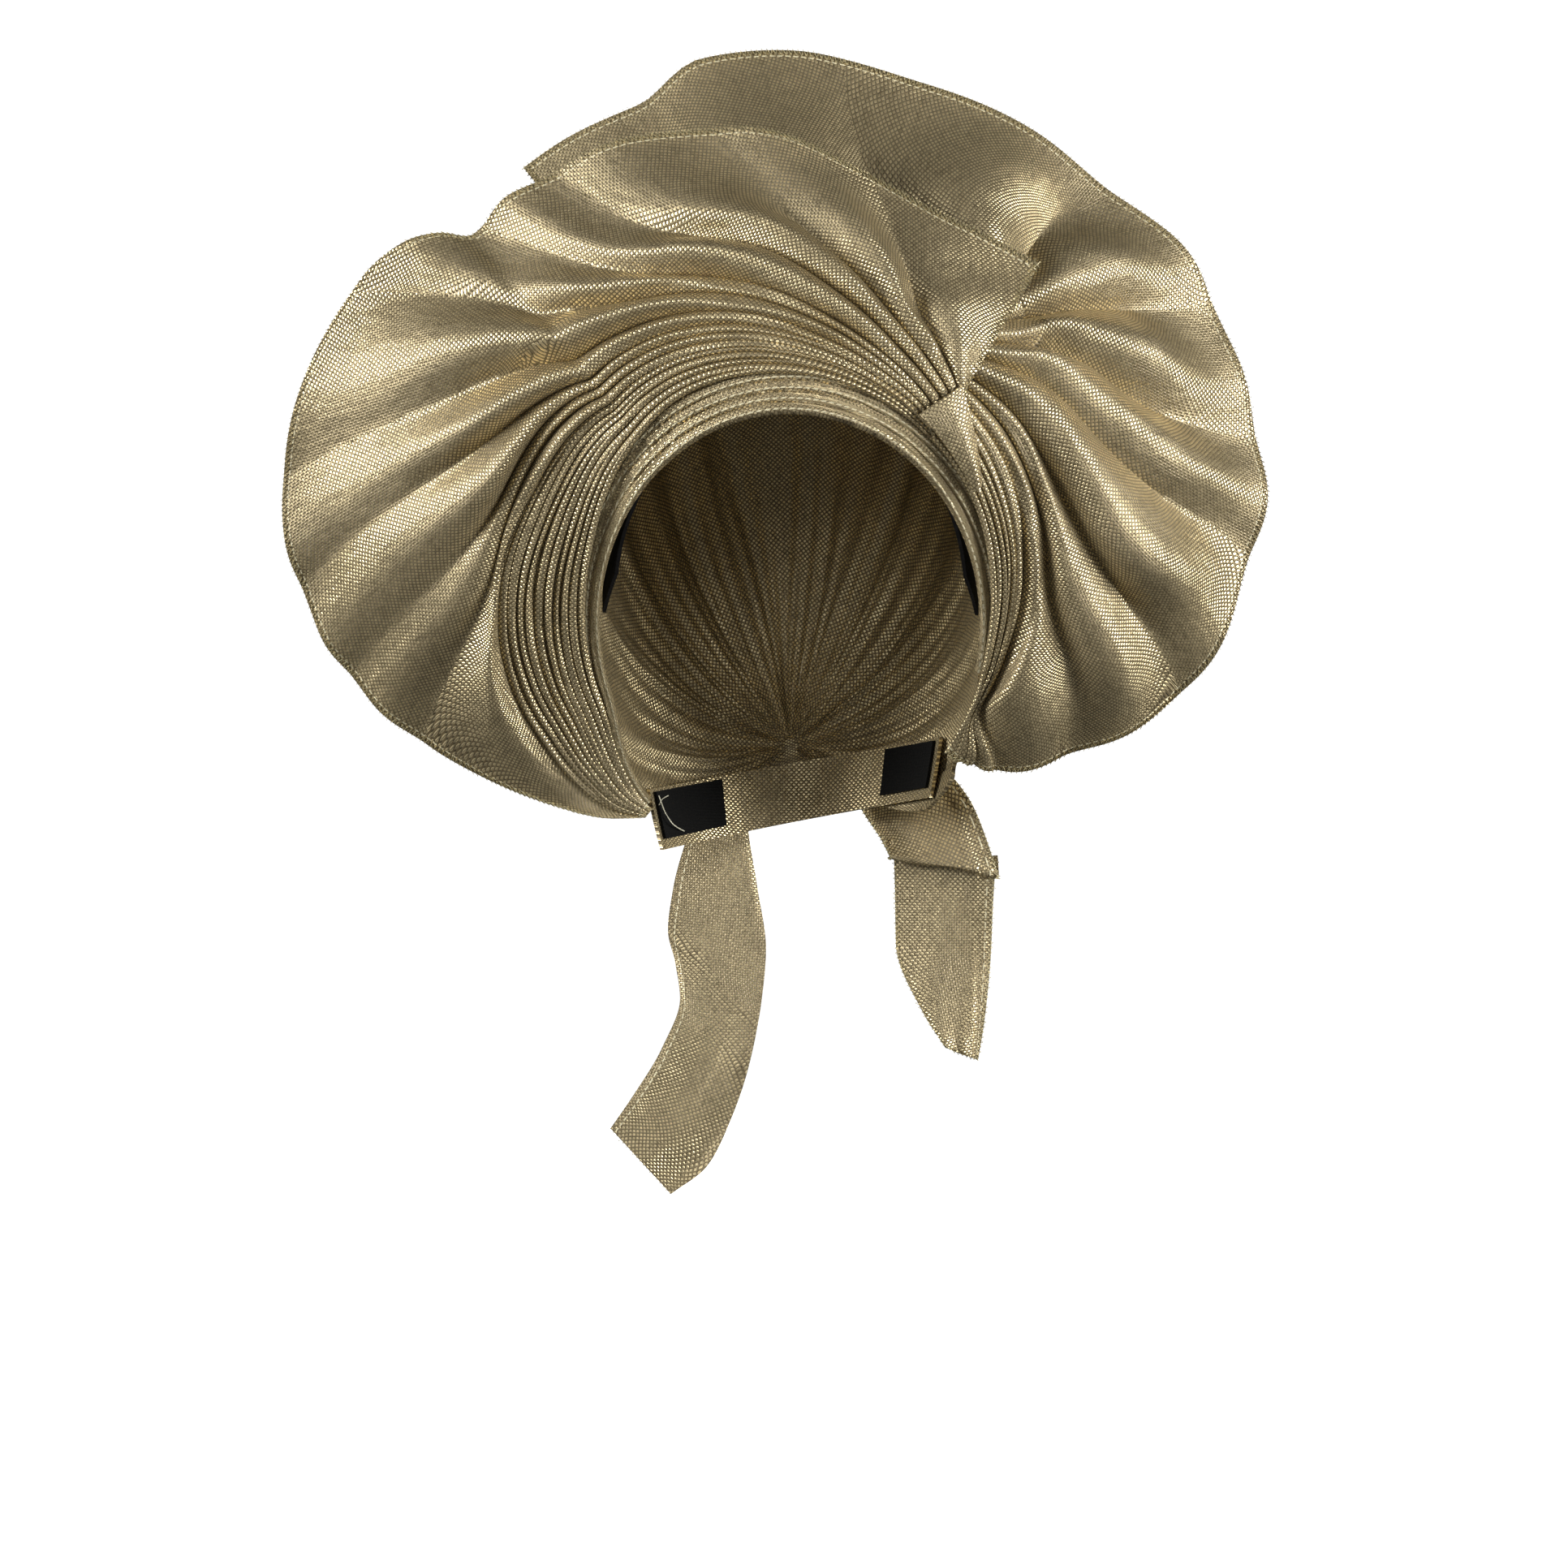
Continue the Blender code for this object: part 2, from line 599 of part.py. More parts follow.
def knot_shape():
    """The knot's solid about its own centre, and where that centre goes.

    The knot settles a little into the hollow where the cap's gathers meet.
    """
    knot = bmesh.new()
    bmesh.ops.create_cone(knot, cap_ends=True, segments=14, radius1=0.5, radius2=0.5, depth=1.0)
    sides = [edge for edge in knot.edges if abs(edge.verts[0].co.z - edge.verts[1].co.z) > 0.5]
    bmesh.ops.subdivide_edges(knot, edges=sides, cuts=5, use_grid_fill=True)
    for vertex in knot.verts:
        end = 2 * vertex.co.z
        swell = KNOT_WAIST + (1 - KNOT_WAIST) * math.sin(math.pi * min(1, 1.25 * (1 - abs(end))))
        vertex.co = (
            end * KNOT_LENGTH / 2,
            vertex.co.x * KNOT_THICKNESS * swell,
            vertex.co.y * KNOT_HEIGHT * swell,
        )
    shape = np.array([vertex.co for vertex in knot.verts])
    spot, normal = egg_point(meridian(np.array([90.0]), np.array([0.0])))
    centre = spot[0] + normal[0] * KNOT_THICKNESS
    for _ in range(6):
        centre -= normal[0] * (height_over_cap(centre + shape).min() + KNOT_SETTLE)
    return knot, centre


def nape_knot(material, collection):
    """A short barrel of knotted cloth, waisted where it is pulled tight and flat at both ends."""
    knot, centre = knot_shape()
    bmesh.ops.translate(knot, vec=centre, verts=knot.verts[:])
    return finished_piece("nape_knot", knot, material, collection)


def tie_end(name, sections, length, rows, material, collection):
    """A strip of cloth that leaves one end of the knot and hangs, lofted through its table."""
    side = math.copysign(1.0, sections[-1].across_a)
    knot, centre = knot_shape()
    knot.free()
    start = centre + np.array([side * (KNOT_LENGTH / 2 + LAYER_GAP), 0.0, 0.0])
    scale = np.array([TIE_WIDTH, TIE_WIDTH, -length])

    def edge_point(edge, along):
        names = (f"across_{edge}", f"back_{edge}", f"drop_{edge}")
        shares = [through(sections, column, along, "along") for column in names]
        return start + np.stack(shares, axis=-1) * scale

    def strip(across, along):
        across = across[..., None]
        return edge_point("a", along) * (1 - across) + edge_point("b", along) * across

    def place(u, v, depth):
        normal = front_normal(strip, u, v, 0.01, 0.004, keep=True)
        return strip(u, v) + normal * (CLOTH * (0.5 - depth))[:, None]

    return cloth_piece(name, 3, rows, place, material, collection)


def gather_wrap(material, collection):
    """The smooth turn of cloth that covers the gather, wide above and tapered to its lower end."""

    def wrap_sheet(across, down):
        angle = WRAP_TOP - WRAP_SLANT * across * (1 - down) + (WRAP_FOOT - WRAP_TOP) * down
        inner = face_radius(angle) + band_shown(angle)
        radius = inner + WRAP_INSET * (1 - down) ** 2 + 0.001 + WRAP_WIDTH * (1 - 0.8 * down) * across
        return band_sheet(angle, radius)

    def place(u, v, depth):
        point = wrap_sheet(u, v)
        normal = front_normal(wrap_sheet, u, v, 0.01, 0.01)
        swell = WRAP_SWELL * np.sin(np.pi * u) * np.sin(np.pi * (0.1 + 0.8 * v))
        lift = WRAP_LIFT + swell + CLOTH * (1 - depth)
        return point + normal * lift[:, None]

    return cloth_piece("gather_wrap", 6, 8, place, material, collection)


def clear_scene():
    for piece in list(bpy.data.objects):
        bpy.data.objects.remove(piece, do_unlink=True)


def main():
    clear_scene()
    collection = new_collection("gele_head_tie")
    gold = make_material("gold_cloth", GOLD_CLOTH)
    black = make_material("black_stretch_cloth", BLACK_STRETCH)
    hook = make_material("black_hook_tape", BLACK_HOOK)
    pleated_fan("left_fan", LEFT_FAN, 19, gold, collection)
    pleated_fan("right_fan", RIGHT_FAN, 19, gold, collection)
    brow_band(gold, collection)
    gather_wrap(gold, collection)
    crown_cap(gold, collection)
    inner_band(black, collection)
    nape_strap(gold, collection)
    strap_patch("hook_patch", STRAP_LEFT_END - 2.0, STRAP_LEFT_END - HOOK_PATCH_TURN, hook,
                collection)
    strap_patch("loop_patch", STRAP_RIGHT_END + 2.0, STRAP_RIGHT_END + LOOP_PATCH_TURN, hook,
                collection)
    nape_knot(gold, collection)
    tie_end("right_tie_end", RIGHT_TIE_SECTIONS, RIGHT_TIE_LENGTH, 30, gold, collection)
    tie_end("left_tie_end", LEFT_TIE_SECTIONS, LEFT_TIE_LENGTH, 22, gold, collection)


main()
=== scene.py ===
# %% [markdown]
# A tied gele head tie, as a lesson in modelling pleated cloth.
#
# A gele is a head wrap of stiff metallic cloth. This one is ready tied: its cloth is pleated, sewn
# together at one gather on the wearer's left temple, and opens from there into two fans. We load
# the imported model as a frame, and then make each piece of cloth again at full detail in the same
# place. Lengths are metres, +Z is up, the wearer faces -Y and +X is the wearer's left.

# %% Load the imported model
import math
from collections import namedtuple
from functools import partial

import bmesh
import bpy
import numpy as np
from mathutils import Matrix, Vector


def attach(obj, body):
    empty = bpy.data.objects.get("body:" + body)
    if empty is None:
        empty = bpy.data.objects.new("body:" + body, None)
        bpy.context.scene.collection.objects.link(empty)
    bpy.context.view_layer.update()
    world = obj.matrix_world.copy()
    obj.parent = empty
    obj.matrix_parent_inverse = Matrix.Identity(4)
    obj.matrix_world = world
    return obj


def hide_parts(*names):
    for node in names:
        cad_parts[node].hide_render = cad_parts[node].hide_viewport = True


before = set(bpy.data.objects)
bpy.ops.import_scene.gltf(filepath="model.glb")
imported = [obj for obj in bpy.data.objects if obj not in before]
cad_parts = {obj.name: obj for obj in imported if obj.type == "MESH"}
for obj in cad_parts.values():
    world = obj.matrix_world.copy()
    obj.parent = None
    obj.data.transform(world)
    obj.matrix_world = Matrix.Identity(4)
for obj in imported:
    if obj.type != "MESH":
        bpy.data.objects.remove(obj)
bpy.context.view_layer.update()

# %% [markdown]
# The camera comes first, because everything we judge by eye is judged through it. A long lens two
# metres away keeps the wide fans free of distortion. It looks level, at the height of the chin.

# %% Camera
CAMERA_SPOT = (-0.0027, -2.0, -0.065)
CAMERA_LENS = 109.6
CAMERA_SENSOR = 36.0
CAMERA_REACH = 30.0


def put_in_scene(name, data):
    """A new object in the scene, which shows the data."""
    thing = bpy.data.objects.new(name, data)
    bpy.context.scene.collection.objects.link(thing)
    return thing


camera_data = bpy.data.cameras.new("camera")
camera_data.lens = CAMERA_LENS
camera_data.sensor_width = CAMERA_SENSOR
camera_data.clip_end = CAMERA_REACH
camera = put_in_scene("camera", camera_data)
camera.location = CAMERA_SPOT
camera.rotation_euler = (math.radians(90), 0, 0)
bpy.context.scene.camera = camera
print("camera at", CAMERA_SPOT)

# %% [markdown]
# Metallic cloth shows its folds only when there is something bright to reflect and something
# darker beside it. Two large soft boxes stand at both sides, a weak one in front keeps the valleys
# from going black, and one behind lights the back. The surroundings stay dim, so that the sides of
# each fold fall off towards dark olive.

# %% Lights
Lamp = namedtuple("Lamp", "name spot size power")
LAMPS = [
    Lamp("key_softbox", (-1.9, -0.9, 0.40), 1.0, 58.0),
    Lamp("fill_softbox", (1.9, -0.8, 0.20), 1.0, 56.0),
    Lamp("front_softbox", (-0.4, -2.2, 0.6), 0.7, 7.0),
    Lamp("back_softbox", (0.9, 2.2, 0.9), 1.0, 40.0),
]
AIM = Vector((0.0, 0.0, 0.02))
WORLD_COLOUR = (1.0, 0.99, 0.97, 1.0)
WORLD_LIGHT = 0.11

for lamp in LAMPS:
    light = bpy.data.lights.new(lamp.name, "AREA")
    light.shape = "DISK"
    light.size = lamp.size
    light.energy = lamp.power
    holder = put_in_scene(lamp.name, light)
    holder.location = lamp.spot
    holder.rotation_euler = (AIM - holder.location).to_track_quat("-Z", "Y").to_euler()
world = bpy.data.worlds.new("studio")
world.use_nodes = True
world.node_tree.nodes["Background"].inputs["Color"].default_value = WORLD_COLOUR
world.node_tree.nodes["Background"].inputs["Strength"].default_value = WORLD_LIGHT
bpy.context.scene.world = world
bpy.context.scene.view_settings.view_transform = "Standard"
print(len(LAMPS), "lamps")

# %% [markdown]
# Materials are built from nodes. A few helpers are enough: one turns the sRGB hex colours that we
# read off cloth into the linear values that the renderer wants, and one adds a node with its
# settings and its links. A new material starts from its Principled shader alone.

# %% Material helpers
def linear(colour):
    """The linear RGBA of an sRGB hex colour such as #A89860."""
    channels = [int(colour[i:i + 2], 16) / 255 for i in (1, 3, 5)]
    return [c / 12.92 if c <= 0.04045 else ((c + 0.055) / 1.055) ** 2.4 for c in channels] + [1.0]


def connect(node, links):
    """Gives a node's inputs, by name or number, a plain value or another node's output."""
    for place, value in links.items():
        if isinstance(value, bpy.types.NodeSocket):
            node.id_data.links.new(value, node.inputs[place])
        else:
            node.inputs[place].default_value = value


def add(tree, kind, links=None, **settings):
    """Adds a node with its settings and links, and gives back its outputs."""
    node = tree.nodes.new("ShaderNode" + kind)
    for name, value in settings.items():
        setattr(node, name, value)
    connect(node, links or {})
    return node.outputs


def new_material(name, values=None):
    """A material, its shader with uniform values set on it, and the add function for its tree."""
    material = bpy.data.materials.new(name)
    material.use_nodes = True
    shader = material.node_tree.nodes["Principled BSDF"]
    connect(shader, values or {})
    return material, shader, partial(add, material.node_tree)


print("linear gold", [round(c, 3) for c in linear("#A89860")])

# %% [markdown]
# The studio is a pale paper bowl. Its floor lies flat and curves up all round, so that no line
# shows where floor and wall meet, from whichever side we look. We draw half a cross section with a
# few points and spin it once round.

# %% Paper backdrop
FLOOR_LEVEL = -0.385
PAPER_FLAT = 4.0
PAPER_BEND_RADIUS = 1.2
PAPER_WALL = 4.0
PAPER_BEND_STEPS = 16
PAPER_ROUND_STEPS = 96
PAPER_GLOW = 0.95


def paper_backdrop():
    paper = bmesh.new()
    section = [(0.0, 0.0), (PAPER_FLAT, 0.0)]
    for step in range(1, PAPER_BEND_STEPS + 1):
        turn = math.pi / 2 * step / PAPER_BEND_STEPS
        section.append((PAPER_FLAT + PAPER_BEND_RADIUS * math.sin(turn),
                        PAPER_BEND_RADIUS * (1 - math.cos(turn))))
    section.append((section[-1][0], section[-1][1] + PAPER_WALL))
    line = [paper.verts.new((x, 0.0, FLOOR_LEVEL + z)) for x, z in section]
    edges = [paper.edges.new(pair) for pair in zip(line[:-1], line[1:])]
    bmesh.ops.spin(paper, geom=line + edges, axis=(0, 0, 1), cent=(0, 0, 0), angle=2 * math.pi,
                   steps=PAPER_ROUND_STEPS, use_merge=True)
    bmesh.ops.remove_doubles(paper, verts=paper.verts[:], dist=0.0001)
    bmesh.ops.recalc_face_normals(paper, faces=paper.faces[:])
    if sum(face.normal.z * face.calc_area() for face in paper.faces) < 0:
        bmesh.ops.reverse_faces(paper, faces=paper.faces[:])
    mesh = bpy.data.meshes.new("paper_backdrop")
    paper.to_mesh(mesh)
    paper.free()
    mesh.shade_smooth()
    # Seamless paper: matt and nearly white, with a little light of its own so that it stays white.
    material, _, _ = new_material("matt_backdrop_paper", {
        "Base Color": linear("#F7F6F3"), "Roughness": 0.9, "Emission Color": linear("#FFFFFF"),
        "Emission Strength": PAPER_GLOW})
    mesh.materials.append(material)
    backdrop = put_in_scene("paper_backdrop", mesh)
    # The paper glows white for the camera only, so it lays no flat light into the folds.
    backdrop.visible_diffuse = False
    backdrop.visible_glossy = False
    backdrop.visible_shadow = False
    return backdrop


paper_backdrop()
print("backdrop floor at", FLOOR_LEVEL)

# %% [markdown]
# The cloth is a plain weave of two yarns. The warp is a dull olive brown yarn, and the weft is a
# narrow metallic film, so each place where the weft lies on top shows as a bright fleck. On the
# cloth the threads lie about 1 mm apart. We draw them from the cloth's own thread coordinates, a
# UV map in metres, so that they follow every fold, as real threads do.
#
# The product of two sine waves changes sign from one crossing to the next, as a plain weave does,
# so its sign says which thread is on top. Each wave's size rounds its own thread, and where both
# are small lies a hole, which shows dark.

# %% Threads of the weave
THREAD_SPACING = 0.00112
THREAD_WANDER = 0.7
WANDER_SIZE = 0.012


def weave_threads(node, cloth):
    """Count of threads, where the warp is on top, how round a thread is, and where a hole lies."""
    wander = node("TexNoise", {"Vector": cloth, "Scale": 1 / WANDER_SIZE, "Detail": 2.0})
    drift = node("VectorMath", {0: wander["Color"], 1: (0.5, 0.5, 0.5)}, operation="SUBTRACT")[0]
    even = node("VectorMath", {0: cloth, 3: 1 / THREAD_SPACING}, operation="SCALE")[0]
    count = node("VectorMath", {0: drift, 1: (THREAD_WANDER, THREAD_WANDER, 0.0), 2: even},
                 operation="MULTIPLY_ADD")[0]
    half_turn = node("VectorMath", {0: count, 3: math.pi}, operation="SCALE")[0]
    wave = node("VectorMath", {0: half_turn}, operation="SINE")[0]
    waves = node("SeparateXYZ", {0: wave})
    sizes = node("SeparateXYZ", {0: node("VectorMath", {0: wave}, operation="ABSOLUTE")[0]})
    crossing = node("Math", {0: waves[0], 1: waves[1]}, operation="MULTIPLY")[0]
    warp_on_top = node("MapRange", {0: crossing, 1: -0.12, 2: 0.12},
                       interpolation_type="SMOOTHSTEP")[0]
    rounding = node("Mix", {0: warp_on_top, 2: sizes[1], 3: sizes[0]})[0]
    filled = node("Math", {0: sizes[0], 1: sizes[1]}, operation="MAXIMUM")[0]
    gap = node("MapRange", {0: filled, 1: 0.35, 2: 0.75, 3: 1.0, 4: 0.0})[0]
    return count, warp_on_top, rounding, gap


print("threads in a centimetre", round(0.01 / THREAD_SPACING, 1))

# %% [markdown]
# Real threads aren't even. The film is thicker in some stretches, which are called slubs, every
# crossing glints a little differently, and whole patches of cloth are a shade lighter or darker.
# So one noise is stretched along the weft, one changes from crossing to crossing, and one is
# broad.

# %% Colour of the weave
SLUB_LENGTH = 0.006
TONE_SIZE = 0.035
TONES = (0.86, 1.12)
FILM_LEAST = 0.45
YARN_SHARE = 0.84
HOLE_SHARE = 0.9


def weave_colour(node, cloth, count, warp_on_top, gap, bright, dull, shade):
    """Bright film weft, dull yarn warp and shade in the holes between them."""
    slub_space = node("VectorMath", {0: cloth, 1: (1 / THREAD_SPACING, 1 / SLUB_LENGTH, 0.0)},
                      operation="MULTIPLY")[0]
    slub = node("TexNoise", {"Vector": slub_space, "Scale": 1.0, "Detail": 1.0})[0]
    film = node("MapRange", {0: slub, 1: 0.3, 2: 0.7, 3: FILM_LEAST, 4: 1.0})[0]
    film_colour = node("Mix", {0: film, 6: dull, 7: bright}, data_type="RGBA")[2]
    crossing = node("VectorMath", {0: count}, operation="FLOOR")[0]
    glint = node("TexWhiteNoise", {"Vector": crossing}, noise_dimensions="2D")[0]
    lively = node("Mix", {0: glint, 6: film_colour, 7: bright}, data_type="RGBA")[2]
    yarn = node("Math", {0: warp_on_top, 1: YARN_SHARE}, operation="MULTIPLY")[0]
    woven = node("Mix", {0: yarn, 6: lively, 7: dull}, data_type="RGBA")[2]
    patch = node("TexNoise", {"Vector": cloth, "Scale": 1 / TONE_SIZE, "Detail": 4.0,
                              "Roughness": 0.6})[0]
    tone = node("MapRange", {0: patch, 1: 0.25, 2: 0.75, 3: TONES[0], 4: TONES[1]})[0]
    toned = node("VectorMath", {0: woven, 3: tone}, operation="SCALE")[0]
    hole = node("Math", {0: gap, 1: HOLE_SHARE}, operation="MULTIPLY")[0]
    return node("Mix", {0: hole, 6: toned, 7: shade}, data_type="RGBA")[2]


print("slubs about", SLUB_LENGTH, "long")

# %% [markdown]
# A line of pale stitches runs beside each rim. The "rim" UV map holds how far along the rim and
# how far in from it each point lies, so a stitch is a dash: near enough to one distance from the
# rim, and on the upper part of a sine wave along it.
#
# Film is metal and yarn is not, so where the warp lies on top the cloth is less metallic. Two
# bumps finish it: a soft crinkle a few millimetres wide, as starched cloth has, and each thread's
# round.

# %% Gold weave
STITCH_FROM_EDGE = 0.0031
STITCH_WIDTH = 0.00028
STITCH_LENGTH = 0.0034
CRINKLE_SIZE = 0.0060
CRINKLE_DEPTH = 0.0022
THREAD_DEPTH = 0.00035


def stitch_line(node):
    """1 on the stitches along a rim and 0 elsewhere."""
    edge = node("SeparateXYZ", {0: node("UVMap", uv_map="rim")["UV"]})
    off = node("Math", {0: edge[1], 1: STITCH_FROM_EDGE}, operation="SUBTRACT")[0]
    off_size = node("Math", {0: off}, operation="ABSOLUTE")[0]
    on_line = node("Math", {0: off_size, 1: STITCH_WIDTH}, operation="LESS_THAN")[0]
    turn = node("Math", {0: edge[0], 1: 2 * math.pi / STITCH_LENGTH}, operation="MULTIPLY")[0]
    wave = node("Math", {0: turn}, operation="SINE")[0]
    dash = node("Math", {0: wave, 1: -0.3}, operation="GREATER_THAN")[0]
    return node("Math", {0: on_line, 1: dash}, operation="MULTIPLY")[0]


def gold_weave(name, bright, dull, shade, stitches):
    """Metallic gele cloth, with a line of stitches along its rims."""
    material, shader, node = new_material(name)
    cloth = node("UVMap", uv_map="threads")["UV"]
    count, warp_on_top, rounding, gap = weave_threads(node, cloth)
    woven = weave_colour(node, cloth, count, warp_on_top, gap, linear(bright), linear(dull),
                         linear(shade))
    stitch = stitch_line(node)
    coloured = node("Mix", {0: stitch, 6: woven, 7: linear(stitches)}, data_type="RGBA")[2]
    rough = node("MapRange", {0: rounding, 3: 0.52, 4: 0.34})[0]
    yarns = node("Mix", {0: warp_on_top, 2: 0.88, 3: 0.45})[0]
    metal = node("Mix", {0: stitch, 2: yarns, 3: 0.0})[0]
    crinkle_space = node("VectorMath", {0: cloth, 1: (1.0, 0.45, 0.0)}, operation="MULTIPLY")[0]
    crinkle = node("TexNoise", {"Vector": crinkle_space, "Scale": 1 / CRINKLE_SIZE,
                                "Detail": 3.0})[0]
    soft = node("Bump", {"Height": crinkle, "Strength": 0.34, "Distance": CRINKLE_DEPTH})[0]
    bump = node("Bump", {"Height": rounding, "Strength": 0.55, "Distance": THREAD_DEPTH,
                         "Normal": soft})[0]
    connect(shader, {"Base Color": coloured, "Roughness": rough, "Metallic": metal,
                     "Normal": bump})
    return material


# Woven gele cloth of metallic film and yarn: bright flecks in rows, with dark pinholes between.
gold_cloth = gold_weave("woven_gold_gele_cloth", "#EBD8AA", "#53452C", "#120E08", "#D8CFAC")
print("stitches", STITCH_LENGTH, "apart")

# %% [markdown]
# The other materials are plain beside it: the gold sewing thread of the overlocked edges, the
# black stretch knit of the inner band, the hook and loop tape on the strap, and a pale loose
# thread.

# %% Thread and black cloth
PLY_SIZE = 0.0009
RIB_SPACING = 0.0014
FUZZ_SIZE = 0.0011
FIBRE_GLOSS = 0.12


def fibrous(shader, node, colour, noise, shades, relief, strength, depth):
    """Mottles a colour by a noise, and raises the surface by a relief."""
    light = node("MapRange", dict(enumerate((noise, *shades))))[0]
    base = node("VectorMath", {0: linear(colour)[:3], 3: light}, operation="SCALE")[0]
    bump = node("Bump", {"Height": relief, "Strength": strength, "Distance": depth})[0]
    connect(shader, {"Base Color": base, "Normal": bump})


def sewing_thread(name, colour, metallic, roughness):
    """Twisted thread, whose plies show as fine light and dark bars."""
    material, shader, node = new_material(name, {"Metallic": metallic, "Roughness": roughness})
    spot = node("TexCoord")["Object"]
    plies = node("TexNoise", {"Vector": spot, "Scale": 1 / PLY_SIZE, "Detail": 2.0})[0]
    fibrous(shader, node, colour, plies, (0.3, 0.7, 0.45, 1.15), plies, 0.5, 0.0002)
    return material


def black_cloth(name, colour, rib_share):
    """Black cloth with knitted ribs along its length and a short fuzz over them."""
    material, shader, node = new_material(name, {
        "Roughness": 0.85, "Sheen Weight": 0.02, "Specular IOR Level": FIBRE_GLOSS})
    cloth = node("UVMap", uv_map="threads")["UV"]
    across = node("SeparateXYZ", {0: cloth})[1]
    turn = node("Math", {0: across, 1: 2 * math.pi / RIB_SPACING}, operation="MULTIPLY")[0]
    rib = node("Math", {0: turn}, operation="SINE")[0]
    fuzz = node("TexNoise", {"Vector": cloth, "Scale": 1 / FUZZ_SIZE, "Detail": 3.0})[0]
    height = node("Mix", {0: 1 - rib_share, 2: rib, 3: fuzz})[0]
    fibrous(shader, node, colour, fuzz, (0.3, 0.75, 0.4, 1.5), height, 0.7, 0.0005)
    return material


# Metallic overlock thread: bright, so that the sewn edges sparkle.
edge_thread = sewing_thread("gold_overlock_thread", "#CFC49A", 0.20, 0.55)
# Pale cotton sewing thread: matt and nearly white.
loose_thread = sewing_thread("pale_cotton_thread", "#CFCBB4", 0.0, 0.8)
# Black stretch knit: matt, with fine ribs round the head.
stretch_knit = black_cloth("black_stretch_knit", "#0D0C0B", 0.6)
# Nylon hook tape: deep black, with a dense bristle that scatters a little light.
hook_tape = black_cloth("black_nylon_hook_tape", "#080807", 0.2)
print("materials", [m.name for m in bpy.data.materials])

# %% [markdown]
# Each sheet is a function of a few named sizes and short tables. They are those that the packed
# model was built from, here and there a little refined, so the detailed cloth lies within a few
# millimetres of the plain solid. Tables hold shares of the named sizes, and a smooth curve runs
# through their rows.

# %% Named sizes
CLOTH = 0.0016
FACE_WIDTH = 0.160
FACE_HEIGHT = 0.173
FACE_SETBACK = 0.012
FACE_LEAN = 0.70
JAW_FLARE = 0.010
JAW_FROM = 200.0
JAW_OVER = 32.0

LEFT_SPREAD = 0.2283
RIGHT_SPREAD = 0.2451
LEFT_RIM_FRONT = 0.030
RIGHT_RIM_FRONT = 0.006
LEFT_RIM_SWEEP = 0.065
RIGHT_RIM_SWEEP = 0.042
RIM_SWEEP_POWER = 2.2
DISH = 0.10
GATHER_ANGLE = 54.5
BEHIND_STEP = 0.006
BEHIND_DEPTH = 0.019
BROAD_FOLD_HEIGHT = 0.009
FOLD_STEEPNESS = 0.42
RIM_FLATNESS = 0.70
TURN_POWER = 3.0
LEFT_FINE_PLEATS = 10
LEFT_BROAD_FOLDS = 10
RIGHT_FINE_PLEATS = 6
RIGHT_BROAD_FOLDS = 8

BAND_WIDTH = 0.017
BAND_TUCK = 0.004
BAND_GAP = 0.0009
BAND_LAYERS = 3
BAND_LAYER_STEP = 0.0005

CAP_WIDTH = 0.166
CAP_DEPTH = 0.206
CAP_CENTRE_BACK = 0.010
CAP_CENTRE_UP = 0.027
CAP_CROWN_RISE = 0.105
CAP_NAPE_DROP = 0.200
CAP_GATHER_HEIGHT = 0.0022
CAP_GATHERS = 12
CAP_GATHER_HOLE = 0.003
CAP_HEM_TURN = 41.0
CAP_CLEARANCE = 0.0012
KNOT_SLOPE = 38.0

INNER_BAND_WIDTH = 0.030
INNER_BAND_CLOTH = 0.0015
INNER_BAND_SETBACK = 0.003
INNER_BAND_GRIP = 0.0035
INNER_BAND_GAP = 0.0018
INNER_BAND_ENDS = 15.0  # reaches a little lower at both temples than the plain solid

STRAP_LEVEL = 0.056
STRAP_TILT = 0.16
STRAP_HEIGHT = 0.026
STRAP_INSET = 0.0031
STRAP_LEFT_END = 152.0
STRAP_RIGHT_END = 28.0
LAYER_GAP = 0.0005
PATCH_CLOTH = 0.0012
PATCH_MARGIN = 0.0045
PATCH_OFF_END = 2.0
HOOK_PATCH_TURN = 36.0
LOOP_PATCH_TURN = 26.0

KNOT_LENGTH = 0.032
KNOT_HEIGHT = 0.027
KNOT_THICKNESS = 0.021
KNOT_WAIST = 0.72
KNOT_SETTLE = 0.0006
TIE_WIDTH = 0.045
RIGHT_TIE_LENGTH = 0.137
LEFT_TIE_LENGTH = 0.200

WRAP_TOP = 59.0
WRAP_FOOT = 37.0
WRAP_SLANT = 4.0
WRAP_WIDTH = 0.0205
WRAP_INSET = 0.0022
WRAP_LIFT = 0.0027
WRAP_SWELL = 0.0030
print("sizes of", len(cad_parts), "nodes")

# %% Tables of rims and folds
Rim = namedtuple("Rim", "angle reach")
Fold = namedtuple("Fold", "share start_angle start_reach drift turn end_angle end_reach height")
Show = namedtuple("Show", "angle share")
Fan = namedtuple("Fan", "spread rim folds front sweep fine broad behind")
Section = namedtuple("Section", "along across_a back_a drop_a across_b back_b drop_b")

